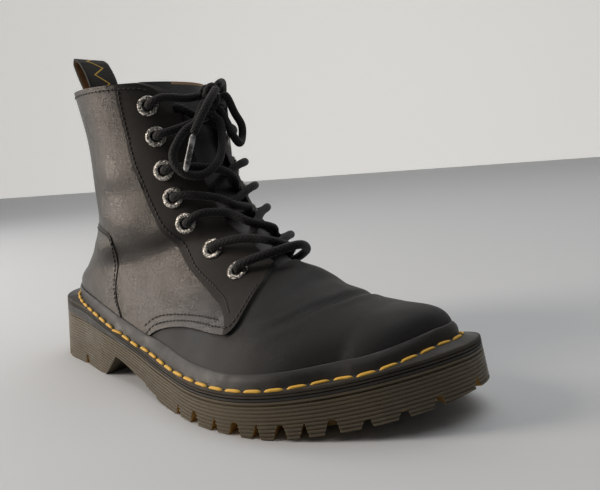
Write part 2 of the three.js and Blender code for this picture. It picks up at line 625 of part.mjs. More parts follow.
// A webbing strap over the back of the collar, its ends sewn inside and outside the wall.
function pullLoop() {
  const middle = CENTRE / 2;
  const x = bare(0.35, Math.PI).x - (OVERLAY + STAY - WALL) / 2;
  const wide = (OVERLAY + STAY + WALL) / 2 + GAP + STRAP;
  const foot = COLLAR_HEIGHT + GAP;
  const top = COLLAR_HEIGHT + LOOP_RISE;
  const lean = (z) => LOOP_LEAN * ((z - foot) / LOOP_RISE) ** 1.3;
  const line = (side) => [0, 0.25, 0.5, 0.75, 0.92].map((share) => {
    const z = lerp(foot, top, share);
    return [x - lean(z) + side * (1 + 0.7 * Math.sin(Math.PI * share)), z];
  });
  const outerLine = line(wide);
  const innerLine = line(wide - STRAP);
  const outerBack = line(-wide);
  const innerBack = line(STRAP - wide);
  const tip = [x - lean(top), top];
  const arch = prism([
    ...outerLine, tip, ...outerBack.reverse(), ...innerBack, [tip[0], tip[1] - STRAP],
    ...innerLine.reverse(),
  ], middle - LOOP_WIDTH / 2, middle + LOOP_WIDTH / 2);
  const rear = (low, high) => prism([
    [-0.1 * LENGTH, low], [0.2 * LENGTH, low], [0.2 * LENGTH, high], [-0.1 * LENGTH, high],
  ], middle - LOOP_WIDTH / 2, middle + LOOP_WIDTH / 2);
  const plate = (from, to) => cut(meet(lastSolid(to), rear(COLLAR_HEIGHT - 10, foot + 1)), lastSolid(from));
  const outside = plate(OVERLAY + STAY + GAP, OVERLAY + STAY + GAP + STRAP);
  const inside = plate(-WALL - GAP - STRAP, -WALL - GAP);
  return join(arch, outside, inside);
}

// Laces: from a pair of eyelets over the throat, and down beside the facings at the next pair.

const CROSSINGS = [
  { from: 2, to: 1 },
  { from: 3, to: 4 },
  { from: 4, to: 5 },
  { from: 5, to: 6 },
  { from: 6, to: 7 },
];

function crossing({ from: start, to: next }) {
  const { place: from, span: side } = EYELETS[start - 1];
  const to = EYELETS[next - 1].place;
  const end = THROAT / 2 - 1.6 * LACE_RADIUS;
  const over = OVERLAY + STAY + GAP + EYELET_RISE + GAP + LACE_RADIUS;
  const run = (way) => tube(along([
    onFront(from, way * side, over + 0.5).point,
    onFront(lerp(from, to, 0.16), way * side * 0.55, over + 0.9).point,
    onFront(lerp(from, to, 0.5), 0, over + 0.6).point,
    onFront(lerp(from, to, 0.86), -way * end, over - 3).point,
  ]), LACE_RADIUS, 4, 6);
  return join(run(-1), run(1));
}

function bottomBar() {
  const { place, span } = EYELETS[6];
  const over = OVERLAY + STAY + GAP + EYELET_RISE + GAP + LACE_RADIUS;
  return tube(along([-1, -0.5, 0, 0.5, 1].map((way) => onFront(
    place + 0.5 * (1 - way * way), way * span, over + 0.4 + 1.6 * (1 - way * way)).point)),
  LACE_RADIUS, 8);
}

const KNOT_LIFT = 11.6;
const KNOT_ACROSS = 1.9;
const KNOT = onFront(EYELETS[0].place, KNOT_ACROSS, KNOT_LIFT).point;
const KNOT_SIZE = new THREE.Vector3(5.5, 6.5, 7.5);

// The first two points of a lace that leaves the knot, by its direction.
function leave(x, y, z, clear = 0.5) {
  const way = new THREE.Vector3(x, y, z).normalize();
  const reach = 1 / way.clone().divide(KNOT_SIZE).length();
  return [reach + clear, reach + clear + 3].map((distance) => KNOT.clone().addScaledVector(way, distance));
}

function topBar(way) {
  const over = OVERLAY + STAY + GAP + EYELET_RISE + GAP + LACE_RADIUS;
  const { place, span } = EYELETS[0];
  const start = onFront(place, way * span, over + 0.6).point;
  const [end, near] = leave(-0.3, way, 0.1);
  return tube(along([start, start.clone().lerp(near, 0.6), near, end]), LACE_RADIUS, 5);
}

// The bow's loops and ends between their starts at the knot, by hand in millimetres from its middle.
const FRONT_LOOP = [
  [6, 1, -14.5], [11, -3, -25.5], [15, -9, -35], [15.8, -16, -40.7], [14, -23.1, -43.9],
  [9, -29.3, -42.7], [4.6, -32.1, -37.9], [2.4, -31.7, -31.9], [2.6, -28.7, -26.3],
  [3.5, -23, -19.4], [4.8, -15.5, -14.7],
];
const BACK_LOOP = [
  [6.5, 12.5, -9.5], [8.5, 15.5, -17], [9.5, 14, -24.5], [11.6, 9.5, -27.3], [11.4, 5.5, -23],
  [8, 5.3, -16.5],
];
const OUTER_END = [[12.4, -11.5, -4], [13.3, -20, -14.5], [13.6, -25.2, -21.9]];
const OUTER_AGLET = [[13.6, -25.5, -22.3], [13.9, -29.5, -32], [14, -33.1, -41]];
const INNER_END = [
  [-8, 17.7, 10], [-14.5, 23.8, 8], [-20.5, 28.5, 2.5], [-23.5, 31.3, -6], [-24.2, 32.3, -15.5],
];
const INNER_AGLET = [[-24.2, 32.4, -15.9], [-24.1, 32.8, -26], [-23.8, 33.1, -35]];
const AGLET_RADIUS = 1.6;

const threaded = (points) => points.map((step) => KNOT.clone().add(new THREE.Vector3(...step)));
const loop = (first, points, last, steps) => tube(
  along([...leave(...first), ...threaded(points), ...leave(...last).reverse()]), LACE_RADIUS, steps);
const loose = (first, points, steps) => tube(
  along([...leave(...first), ...threaded(points)]), LACE_RADIUS, steps);
const aglet = (points) => tube(along(threaded(points)), AGLET_RADIUS, 2);

function knot() {
  return merged(new THREE.SphereGeometry(1, 10, 8).scale(KNOT_SIZE.x, KNOT_SIZE.y, KNOT_SIZE.z)
    .translate(KNOT.x, KNOT.y, KNOT.z));
}

// The boot, each sub-part in its own material, with the middle of its sole over the origin.

const look = (color, roughness, metalness = 0) => new THREE.MeshStandardMaterial(
  { color, roughness, metalness });
const LOOKS = {
  leather: look(0x2d2a26, 0.45),
  rubber: look(0x2a2724, 0.6),
  gum: look(0x5f5541, 0.5),
  lining: look(0x9a7a55, 0.9),
  webbing: look(0x191816, 0.85),
  cord: look(0x161615, 0.9),
  metal: look(0xb4b0a8, 0.35, 0.9),
  tip: look(0x3a3a3a, 0.25),
};

const parts = [
  ['outsole', outsole(), LOOKS.gum],
  ['midsole', midsole(), LOOKS.rubber],
  ['welt', welt(), LOOKS.rubber],
  ['insole', insole(), LOOKS.lining],
  ['upper', upper(), LOOKS.leather],
  ['tongue', tongue(), LOOKS.leather],
  ['pull_loop', pullLoop(), LOOKS.webbing],
  ...eyelets().map(({ name, point, normal }) => [
    name, eyeletRing().applyQuaternion(upright(normal)).translate(point.x, point.y, point.z), LOOKS.metal,
  ]),
  ...CROSSINGS.map((row) => [`lace_crossing_${row.from}`, crossing(row), LOOKS.cord]),
  ['lace_bar_bottom', bottomBar(), LOOKS.cord],
  ['lace_bar_outer', topBar(-1), LOOKS.cord],
  ['lace_bar_inner', topBar(1), LOOKS.cord],
  ['lace_knot', knot(), LOOKS.cord],
  ['lace_loop_front', loop([0.25, -0.1, -1], FRONT_LOOP, [0.35, -0.9, -0.5], 12), LOOKS.cord],
  ['lace_loop_back', loop([0.75, 0.75, 0], BACK_LOOP, [0.1, 0.65, -0.8], 9), LOOKS.cord],
  ['lace_end_outer', loose([1, -0.3, 0.35], OUTER_END, 5), LOOKS.cord],
  ['lace_end_inner', loose([0, 0.75, 0.75], INNER_END, 6), LOOKS.cord],
  ['aglet_outer', aglet(OUTER_AGLET), LOOKS.tip],
  ['aglet_inner', aglet(INNER_AGLET), LOOKS.tip],
];

const soleBox = new THREE.Box3();
for (const [name, geometry] of parts) {
  if (name.startsWith('lace_loop') || name.startsWith('lace_end') || name.startsWith('aglet')) continue;
  geometry.computeBoundingBox();
  soleBox.union(geometry.boundingBox);
}
const middle = soleBox.getCenter(new THREE.Vector3());

const group = new THREE.Group();
for (const [name, geometry, material] of parts) {
  const mesh = new THREE.Mesh(merged(geometry).translate(-middle.x, -middle.y, 0), material);
  mesh.name = name;
  group.add(mesh);
}

export default group;
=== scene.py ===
import math

import bmesh
import bpy
import numpy as np
from mathutils import Matrix, Vector
from mathutils.bvhtree import BVHTree


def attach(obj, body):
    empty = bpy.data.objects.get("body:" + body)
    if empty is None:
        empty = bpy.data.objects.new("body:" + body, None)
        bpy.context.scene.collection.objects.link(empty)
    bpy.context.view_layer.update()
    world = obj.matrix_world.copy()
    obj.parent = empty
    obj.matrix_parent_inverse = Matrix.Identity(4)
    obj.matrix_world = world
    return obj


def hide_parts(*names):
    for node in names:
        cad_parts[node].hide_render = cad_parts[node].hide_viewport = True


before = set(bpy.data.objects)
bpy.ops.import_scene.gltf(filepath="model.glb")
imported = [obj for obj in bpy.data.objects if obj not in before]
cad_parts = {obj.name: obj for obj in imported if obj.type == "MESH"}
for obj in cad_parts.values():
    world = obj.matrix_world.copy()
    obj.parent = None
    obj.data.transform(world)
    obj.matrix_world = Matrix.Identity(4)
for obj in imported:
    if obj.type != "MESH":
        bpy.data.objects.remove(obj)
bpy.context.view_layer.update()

# Stage: a right combat boot stands on a plain pale floor in soft studio light. Positions are worked
# out in millimetres from the back of the boot's welt, and MIDDLE is where the part's origin lies.
# Floor, wall and lamps are placed in metres.
MIDDLE = np.array([139.27, -0.875, 0.0])
FLOOR_RADIUS = 12.0
FLOOR_SIDES = 96
FLOOR_COLOUR = (0.6, 0.615, 0.63)
WALL_LEFT = (-7.5, -2.2)
WALL_RIGHT = (3, 7.3)
WALL_HEIGHT = 6
WALL_COLOUR = (0.8, 0.79, 0.765)
WALL_GLOW = 0.55
ROOM_GLOW = 0.1
CAMERA_AT = (406.51, -224.06, 120.40)
CAMERA_YAW = 42.334
CAMERA_PITCH = 8.001
CAMERA_ROLL = -4.013
SENSOR_WIDTH = 36
PICTURE_WIDTH = 600
FOCAL_PIXELS = 621.41


def metres(points):
    return (np.asarray(points, dtype=float) - MIDDLE) / 1000


def mesh_piece(name, vertices, faces, smooth=True):
    mesh = bpy.data.meshes.new(name)
    mesh.from_pydata([tuple(v) for v in vertices], [], [tuple(f) for f in faces])
    mesh.update()
    if smooth:
        mesh.shade_smooth()
    piece = bpy.data.objects.new(name, mesh)
    bpy.context.scene.collection.objects.link(piece)
    return piece


def finish(name, colour, roughness, metallic=0.0):
    material = bpy.data.materials.new(name)
    material.use_nodes = True
    shader = material.node_tree.nodes["Principled BSDF"]
    shader.inputs["Base Color"].default_value = (*colour, 1)
    shader.inputs["Roughness"].default_value = roughness
    shader.inputs["Metallic"].default_value = metallic
    return material, material.node_tree, shader


def stage():
    rim = [(FLOOR_RADIUS * math.cos(2 * math.pi * i / FLOOR_SIDES),
            FLOOR_RADIUS * math.sin(2 * math.pi * i / FLOOR_SIDES), 0) for i in range(FLOOR_SIDES)]
    floor = mesh_piece("studio_floor", rim, [tuple(range(FLOOR_SIDES))], smooth=False)
    material, _, _ = finish("pale_floor", FLOOR_COLOUR, 0.75)
    floor.data.materials.append(material)
    corners = [(*WALL_LEFT, 0), (*WALL_RIGHT, 0), (*WALL_RIGHT, WALL_HEIGHT), (*WALL_LEFT, WALL_HEIGHT)]
    wall = mesh_piece("studio_wall", corners, [(0, 1, 2, 3)], smooth=False)
    material, _, shader = finish("pale_wall", WALL_COLOUR, 0.8)
    shader.inputs["Emission Color"].default_value = (*WALL_COLOUR, 1)
    shader.inputs["Emission Strength"].default_value = WALL_GLOW
    wall.data.materials.append(material)

    world = bpy.data.worlds.new("studio")
    bpy.context.scene.world = world
    world.use_nodes = True
    room = world.node_tree.nodes["Background"]
    room.inputs["Color"].default_value = (*WALL_COLOUR, 1)
    room.inputs["Strength"].default_value = ROOM_GLOW
    bpy.context.scene.view_settings.view_transform = "Standard"


def softbox(name, position, target, size, power, colour=(1, 1, 1)):
    light = bpy.data.lights.new(name, "AREA")
    light.shape = "RECTANGLE"
    light.size, light.size_y = size
    light.energy = power
    light.color = colour
    lamp = bpy.data.objects.new(name, light)
    bpy.context.scene.collection.objects.link(lamp)
    lamp.location = position
    lamp.rotation_mode = "QUATERNION"
    lamp.rotation_quaternion = (Vector(target) - Vector(position)).to_track_quat("-Z", "Y")


def photograph_camera():
    yaw, pitch, roll = math.radians(CAMERA_YAW), math.radians(CAMERA_PITCH), math.radians(CAMERA_ROLL)
    forward = Vector((-math.sin(yaw) * math.cos(pitch), math.cos(yaw) * math.cos(pitch), -math.sin(pitch)))
    right = forward.cross(Vector((0, 0, 1))).normalized()
    up = right.cross(forward)
    turned_right = right * math.cos(roll) + up * math.sin(roll)
    turned_up = up * math.cos(roll) - right * math.sin(roll)
    camera = bpy.data.cameras.new("camera")
    camera.sensor_width = SENSOR_WIDTH
    camera.lens = FOCAL_PIXELS * SENSOR_WIDTH / PICTURE_WIDTH
    camera.clip_start = 0.02
    holder = bpy.data.objects.new("camera", camera)
    bpy.context.scene.collection.objects.link(holder)
    turn = Matrix((turned_right, turned_up, -forward)).transposed()
    holder.rotation_mode = "QUATERNION"
    holder.rotation_quaternion = turn.to_quaternion()
    holder.location = metres(CAMERA_AT)
    bpy.context.scene.camera = holder


stage()
photograph_camera()
softbox("window", (-0.86, -0.84, 0.52), (-0.02, 0, 0.1), (0.34, 1.0), 15, (1, 0.9, 0.81))
softbox("far_window", (-1.25, -0.1, 0.7), (-0.05, 0, 0.1), (0.4, 0.8), 2.5, (0.97, 0.98, 1))
softbox("top", (0.3, 0.5, 2.6), (0.1, 0.1, 0), (2.6, 2.6), 30)


# Outsole: one moulding of translucent olive-brown rubber, ribbed all round its side, with a heel
# block, an arch, a lifted toe and notches between its lugs. It is cemented under the midsole.
LENGTH = 280
BALL_WIDTH = 106
HEEL_HEIGHT = 41
FOREFOOT_HEIGHT = 19.8
TOE_SPRING = 12.9
WELT_THICKNESS = 3
GAP = 0.3
BAND_DEPTH = 6.4
HEEL_BAND = 4.6
ARCH_HEIGHT = 13.6
RIB = 1.72
RIB_DEPTH = 0.55
LUG_HEIGHT = 6.4
LUG_REACH = 13
TOE_SWING = 18.3
TOE_CORNER = 2.6
SIDE_FLARE = 1.2
HEEL_RAKE = 4.1
TOE_RAKE = 5.8
SOLE_POINTS = 300
SLOT_AT = [0.625, 0.7, 0.775, 0.85, 0.1]
SLOT_HEIGHT = 4
GUM = (0.085, 0.066, 0.037)
# A lighter amber for the sole near the floor: painted glow of light shining through the translucent rubber.
PAINTED_GLOW_AMBER = (0.3, 0.165, 0.04)

OUTLINE_AT = [0, 0.12, 0.26, 0.4, 0.53, 0.65, 0.77, 0.88, 1]
OUTER_HALF = [0.297, 0.307, 0.366, 0.401, 0.468, 0.52, 0.478, 0.37, 0.296]
INNER_HALF = [0.32, 0.33, 0.33, 0.311, 0.362, 0.444, 0.488, 0.442, 0.354]
SEAM_AT = [0, 0.2, 0.45, 0.68, 0.85, 1]
SEAM_HEIGHT = [HEEL_HEIGHT, 0.75 * HEEL_HEIGHT + 0.27 * FOREFOOT_HEIGHT,
               0.19 * HEEL_HEIGHT + 0.81 * FOREFOOT_HEIGHT, FOREFOOT_HEIGHT,
               FOREFOOT_HEIGHT + 0.36 * TOE_SPRING, FOREFOOT_HEIGHT + 1.14 * TOE_SPRING]
# Each notch: its place along the sole, as a share of the length, and its width and height in
# millimetres.
NOTCHES = [(0.068, 3, LUG_HEIGHT), (0.168, 5, LUG_HEIGHT), (0.584, 3.4, LUG_HEIGHT),
           (0.638, 5, LUG_HEIGHT), (0.688, 3.2, LUG_HEIGHT), (0.729, 5, LUG_HEIGHT),
           (0.767, 3.2, LUG_HEIGHT), (0.803, 5, LUG_HEIGHT), (0.833, 3.2, LUG_HEIGHT),
           (0.866, 5.6, LUG_HEIGHT), (0.905, 4.4, 3.6), (0.944, 4.6, 3.2), (0.977, 4.4, 3.4), (1, 4, 3.6)]


def curve(at, value):
    # A smooth curve through given values, read at any place.
    at, value = np.asarray(at, float), np.asarray(value, float)
    before = np.maximum(np.arange(len(at)) - 1, 0)
    after = np.minimum(np.arange(len(at)) + 1, len(at) - 1)
    slope = (value[after] - value[before]) / (at[after] - at[before])

    def read(x):
        t = np.clip(x, at[0], at[-1])
        k = np.clip(np.searchsorted(at, t, side="right") - 1, 0, len(at) - 2)
        span = at[k + 1] - at[k]
        u = (t - at[k]) / span
        rise = u * u * (3 - 2 * u)
        return (value[k] * (1 - rise) + value[k + 1] * rise
                + u * (1 - u) ** 2 * span * slope[k] + u * u * (u - 1) * span * slope[k + 1])
    return read


outer_half = curve(OUTLINE_AT, OUTER_HALF)
inner_half = curve(OUTLINE_AT, INNER_HALF)
seam_curve = curve(SEAM_AT, SEAM_HEIGHT)


def seam(x):
    return seam_curve(np.asarray(x) / LENGTH)


def floor_at(x):
    return TOE_SPRING * np.clip((np.asarray(x) / LENGTH - 0.74) / 0.26, 0, 1.2) ** 2


def outline_point(turn):
    turn = np.mod(turn, 2 * np.pi)
    u = (1 - np.cos(turn)) / 2
    back = np.clip(1 - u / 0.115, 0, 1)
    front = np.clip(1 - (1 - u) / 0.2, 0, 1)
    ends = (1 - back ** 2.3) ** (1 / 2.3) * (1 - front ** 2.4) ** (1 / 2.4)
    half = np.where(turn <= np.pi, -outer_half(u), inner_half(u)) * BALL_WIDTH * ends
    # The rim stands out a little at the toe's inner corner.
    corner = TOE_CORNER * np.exp(-((turn - np.pi - 0.25) / 0.4) ** 2)
    swing = TOE_SWING * np.clip((u - 0.7) / 0.3, 0, 1) ** 2
    return np.stack([u * LENGTH + 0.8 * corner, half + swing + 0.6 * corner], -1)


def outline_at(turn, inset, flare=0.0):
    # The outline moved in from the rim. The side flares out towards the floor.
    p = outline_point(turn)
    side = outline_point(turn + 0.02) - outline_point(turn - 0.02)
    side /= np.linalg.norm(side, axis=-1, keepdims=True)
    into = inset - SIDE_FLARE * flare
    x = p[..., 0] - side[..., 1] * into
    y = p[..., 1] + side[..., 0] * into
    heel = HEEL_RAKE * np.clip(1 - x / (0.215 * LENGTH), 0, 1)
    toe = TOE_RAKE * np.clip((x / LENGTH - 0.8) / 0.2, 0, 1)
    return np.stack([x + (toe - heel) * flare, y], -1)


def run_along(points):
    return np.r_[0, np.cumsum(np.linalg.norm(np.diff(points, axis=0), axis=1))]


def around_sole(count):
    # Even steps along the outline.
    turn = np.linspace(0, 2 * np.pi, 4001)
    run = run_along(outline_point(turn))
    return np.interp(np.linspace(0, run[-1], count, endpoint=False), run, turn)


def sole_ring(turns, inset, depth):
    x0 = outline_point(turns)[:, 0]
    d = depth(x0) if callable(depth) else np.full(len(turns), float(depth))
    k = inset(x0) if callable(inset) else inset
    p = outline_at(turns, k, np.clip(d / seam(x0), 0, 1))
    return np.column_stack([p, seam(x0) - d])


def tube_faces(rings, count, endless=False):
    faces = []
    for i in range(rings if endless else rings - 1):
        a, b = i * count, (i + 1) % rings * count
        for j in range(count):
            k = (j + 1) % count
            faces.append((a + j, a + k, b + k, b + j))
    return faces


def outward(piece):
    work = bmesh.new()
    work.from_mesh(piece.data)
    bmesh.ops.remove_doubles(work, verts=work.verts, dist=1e-7)
    bmesh.ops.recalc_face_normals(work, faces=work.faces)
    if work.calc_volume(signed=True) < 0:
        bmesh.ops.reverse_faces(work, faces=work.faces)
    work.to_mesh(piece.data)
    work.free()
    return piece


def loft(name, rings, endless=False):
    rings = [np.asarray(r) for r in rings]
    count = len(rings[0])
    faces = tube_faces(len(rings), count, endless)
    if not endless:
        faces.append(tuple(range(count)))
        faces.append(tuple((len(rings) - 1) * count + i for i in reversed(range(count))))
    return outward(mesh_piece(name, metres(np.concatenate(rings)), faces))


def slab_faces(count):
    sides = [(i, (i + 1) % count, count + (i + 1) % count, count + i) for i in range(count)]
    return sides + [tuple(reversed(range(count))), tuple(count + i for i in range(count))]


def prism(name, points, from_y, to_y):
    near = [(x, from_y, z) for x, z in points]
    far = [(x, to_y, z) for x, z in points]
    return outward(mesh_piece(name, metres(near + far), slab_faces(len(points)), smooth=False))


def combine(piece, others, how):
    # Cuts, joins or meets solids, and leaves one plain mesh.
    for other in others:
        step = piece.modifiers.new("combine", "BOOLEAN")
        step.operation = how
        step.solver = "MANIFOLD"
        step.object = other
        depsgraph = bpy.context.evaluated_depsgraph_get()
        result = bpy.data.meshes.new_from_object(piece.evaluated_get(depsgraph))
        piece.modifiers.clear()
        old = piece.data
        piece.data = result
        bpy.data.meshes.remove(old)
        drop(other)
    return piece


def drop(piece):
    mesh = piece.data
    bpy.data.objects.remove(piece)
    if mesh.users == 0:
        bpy.data.meshes.remove(mesh)


def cut(piece, *others):
    return combine(piece, others, "DIFFERENCE")


def join(piece, *others):
    return combine(piece, others, "UNION")


def meet(piece, *others):
    return combine(piece, others, "INTERSECT")


def crisp(piece, degrees):
    piece.data.shade_smooth()
    piece.data.set_sharp_from_angle(angle=math.radians(degrees))
    return piece


def band_depth(x):
    t = np.clip((np.asarray(x) / LENGTH - 0.03) / 0.33, 0, 1)
    return BAND_DEPTH + HEEL_BAND * (1 - t * t * (3 - 2 * t))


def lug_cutter(turn, width, height):
    # A notch is wide at the floor and narrows to a crown.
    foot = outline_at(turn, 0, 1)
    ahead = outline_at(turn + 0.02, 0, 1) - outline_at(turn - 0.02, 0, 1)
    ahead /= np.linalg.norm(ahead)
    inward = np.array([-ahead[1], ahead[0]])
    base = float(floor_at(foot[0]))
    crown = width * (0.32 if width > 4 else 0.14)
    section = [(-width / 2 - 1.6, -3), (width / 2 + 1.6, -3), (crown, height - 0.5),
               (0.6 * crown, height), (-0.6 * crown, height), (-crown, height - 0.5)]
    points = []
    for depth in (-4, LUG_REACH):
        for along, up in section:
            p = foot + ahead * along + inward * depth
            points.append((p[0], p[1], base + up))
    return outward(mesh_piece("notch", metres(points), slab_faces(len(section)), smooth=False))


def object_noise(tree, scale, detail=3.0, stretch=(1, 1, 1)):
    place = tree.nodes.new("ShaderNodeTexCoord")
    mapping = tree.nodes.new("ShaderNodeMapping")
    mapping.inputs["Scale"].default_value = stretch
    noise = tree.nodes.new("ShaderNodeTexNoise")
    noise.inputs["Scale"].default_value = scale
    noise.inputs["Detail"].default_value = detail
    tree.links.new(place.outputs["Object"], mapping.inputs["Vector"])
    tree.links.new(mapping.outputs["Vector"], noise.inputs["Vector"])
    return noise


def ramp(tree, source, stops):
    node = tree.nodes.new("ShaderNodeValToRGB")
    while len(node.color_ramp.elements) < len(stops):
        node.color_ramp.elements.new(0.5)
    for element, (at, colour) in zip(node.color_ramp.elements, stops):
        element.position = at
        element.color = (*colour, 1) if len(colour) == 3 else colour
    tree.links.new(source, node.inputs["Fac"])
    return node


def bumped(tree, shader, height, strength, distance, under=None):
    bump = tree.nodes.new("ShaderNodeBump")
    bump.inputs["Strength"].default_value = strength
    bump.inputs["Distance"].default_value = distance
    tree.links.new(height, bump.inputs["Height"])
    if under is not None:
        tree.links.new(under.outputs["Normal"], bump.inputs["Normal"])
    tree.links.new(bump.outputs["Normal"], shader.inputs["Normal"])
    return bump


def grey(value):
    return (value, value, value)


def rubber(name, colour, light, roughness, grain=900):
    material, tree, shader = finish(name, colour, roughness)
    patches = object_noise(tree, 28, 4)
    tones = ramp(tree, patches.outputs["Fac"], [(0.3, colour), (0.72, light)])
    tree.links.new(tones.outputs["Color"], shader.inputs["Base Color"])
    wear = object_noise(tree, 160, 3)
    dull = [(0.3, grey(roughness - 0.08)), (0.7, grey(roughness + 0.12))]
    gloss = ramp(tree, wear.outputs["Fac"], dull)
    tree.links.new(gloss.outputs["Color"], shader.inputs["Roughness"])
    fine = object_noise(tree, grain, 2)
    bumped(tree, shader, fine.outputs["Fac"], 0.18, 0.0004)
    return material


def outsole():
    turns = around_sole(SOLE_POINTS)
    depths = [(0.5, 0.0)]
    ribs = math.ceil((HEEL_HEIGHT - BAND_DEPTH) / RIB)
    for k in range(ribs):
        depths += [(0.0, (k + 0.12) * RIB), (0.0, (k + 0.5) * RIB),
                   (RIB_DEPTH, (k + 0.66) * RIB), (RIB_DEPTH, (k + 0.94) * RIB)]
    depths.append((0.0, (ribs + 1) * RIB))
    rings = [sole_ring(turns, inset, lambda x, d=d: band_depth(x) + GAP + d) for inset, d in depths]
    sole = loft("outsole_gum", rings)
    toe = [(x, float(floor_at(x))) for x in np.linspace(0.74, 1.04, 25) * LENGTH]
    profile = [(-0.1 * LENGTH, 0), (0.267 * LENGTH, 0), (0.318 * LENGTH, ARCH_HEIGHT),
               (0.4 * LENGTH, 0.61 * ARCH_HEIGHT), (0.52 * LENGTH, 0), *toe,
               (1.1 * LENGTH, 2 * HEEL_HEIGHT), (-0.1 * LENGTH, 2 * HEEL_HEIGHT)]
    gum = rubber("gum_rubber", GUM, (0.115, 0.09, 0.052), 0.45)
    glow = gum.node_tree.nodes["Principled BSDF"].inputs
    glow["Subsurface Weight"].default_value = 0.12
    glow["Subsurface Radius"].default_value = (0.6, 0.35, 0.1)
    glow["Subsurface Scale"].default_value = 0.004
    painted_glow = rubber("painted_glow_rubber", PAINTED_GLOW_AMBER, (0.36, 0.21, 0.055), 0.35)
    tread = rubber("tread_rubber", (0.075, 0.06, 0.036), (0.1, 0.08, 0.05), 0.6)
    meet(sole, prism("side_profile", profile, -BALL_WIDTH, BALL_WIDTH))
    cutters = [lug_cutter(math.acos(1 - 2 * at) * side, width, height)
               for at, width, height in NOTCHES for side in ((1, -1) if at < 1 else (1,))]
    for x in np.array(SLOT_AT) * LENGTH:
        base = float(floor_at(x))
        points = [(x - 2, base - 3), (x + 2, base - 3), (x + 1.4, base + SLOT_HEIGHT),
                  (x - 1.4, base + SLOT_HEIGHT)]
        cutters.append(prism("slot", points, -0.2 * BALL_WIDTH, 0.2 * BALL_WIDTH))
    cut(sole, *cutters)
    sole.data.materials.clear()
    for material in (gum, painted_glow, tread):
        sole.data.materials.append(material)
    # The flat faces underneath are tread. The faces low on the sole, in and round the notches, take a lighter
    # amber: a painted glow of light shining through the translucent rubber.
    for face in sole.data.polygons:
        centre = np.array(face.center) * 1000 + MIDDLE
        low = centre[2] - float(floor_at(centre[0]))
        level = abs(face.normal.z)
        if level > 0.7 and low < 14 and centre[2] < 16:
            face.material_index = 2
        elif low < LUG_HEIGHT + 0.2 and face.area > 3e-6:
            face.material_index = 1
        else:
            face.material_index = 0
    crisp(sole, 28)
    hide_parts("outsole")
    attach(sole, "root")


outsole()


# Midsole: the dark upper part of the rubber sole, with two ribs at the forefoot that fade into a
# plain band round the heel. The welt is stitched and fused to its top.
MIDSOLE_RIBS = 2
DARK_RUBBER = (0.013, 0.0115, 0.01)
OLIVE_RUBBER = (0.095, 0.074, 0.042, 1)
DARK_DEPTH = 4.7
DARK_DEPTH_HEEL = 4.4


def two_tone_rubber():
    # Dark above, and the outsole's olive brown below the "tone" line.
    material = rubber("dark_rubber", DARK_RUBBER, (0.02, 0.017, 0.014), 0.45)
    tree = material.node_tree
    shader = tree.nodes["Principled BSDF"]
    dark = shader.inputs["Base Color"].links[0].from_socket
    tone = tree.nodes.new("ShaderNodeAttribute")
    tone.attribute_name = "tone"
    mix = tree.nodes.new("ShaderNodeMix")
    mix.data_type = "RGBA"
    mix.inputs[7].default_value = OLIVE_RUBBER
    tree.links.new(tone.outputs["Fac"], mix.inputs[0])
    tree.links.new(dark, mix.inputs[6])
    tree.links.new(mix.outputs[2], shader.inputs["Base Color"])
    return material


def midsole():
    turns = around_sole(SOLE_POINTS)
    top = WELT_THICKNESS + GAP

    def heelward(x):
        t = np.clip((np.asarray(x) / LENGTH - 0.24) / 0.2, 0, 1)
        return t * t * (3 - 2 * t)

    rows = [(0.7, 0.0)]
    for k in range(MIDSOLE_RIBS):
        start = 0.04 + 0.47 * k
        rows += [(0.0, start), (0.0, start + 0.14), (0.0, start + 0.28), (RIB_DEPTH, start + 0.34),
                 (RIB_DEPTH, start + 0.42)]
    rows.append((0.15, 1.0))

    def rib_inset(inset):
        return lambda x: inset * heelward(x) if inset == RIB_DEPTH else np.full(len(x), inset)

    def row_depth(share):
        return lambda x: top + (band_depth(x) - top) * share

    rings = [sole_ring(turns, rib_inset(inset), row_depth(share)) for inset, share in rows]
    band = loft("midsole_band", rings)
    tone = band.data.attributes.new("tone", "FLOAT", "POINT")
    spots = np.array([v.co for v in band.data.vertices]) * 1000 + MIDDLE
    under = seam(spots[:, 0]) - spots[:, 2]
    back = 1 - heelward(spots[:, 0])
    soft = 0.3 + 1.6 * back
    t = np.clip((under - (DARK_DEPTH + DARK_DEPTH_HEEL * back) + soft) / (2 * soft), 0, 1)
    tone.data.foreach_set("value", t * t * (3 - 2 * t))
    band.data.materials.append(two_tone_rubber())
    crisp(band, 40)
    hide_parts("midsole")
    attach(band, "root")


midsole()


# Upper: smooth black waxed leather, about two millimetres thick, shaped on a last. The quarters lap
# over the vamp, and eyestays, heel counter and back strip stand out from the quarters.
INSTEP_HEIGHT = 77
COLLAR_HEIGHT = 168.5
WALL = 1.9
OVERLAY = 1.1
STAY = 0.6
THROAT = 24
CENTRE = 14
EYELET_RADIUS = 6.1
EYELET_BORE = 3
EYELET_BARREL = 3.8
EYELET_RISE = 1.2
EYELET_HOLE = 4.1
HOLE_SIDES = 20
STRIP_WIDTH = 21
LEATHER = (0.013, 0.0115, 0.01)
LEATHER_LIGHT = (0.02, 0.0175, 0.015)
VAMP_LEATHER = (0.013, 0.013, 0.0125)
VAMP_LIGHT = (0.018, 0.0175, 0.017)
STAY_LEATHER = (0.014, 0.0118, 0.01)
STAY_LIGHT = (0.02, 0.0165, 0.014)
LINING = (0.3, 0.185, 0.1)

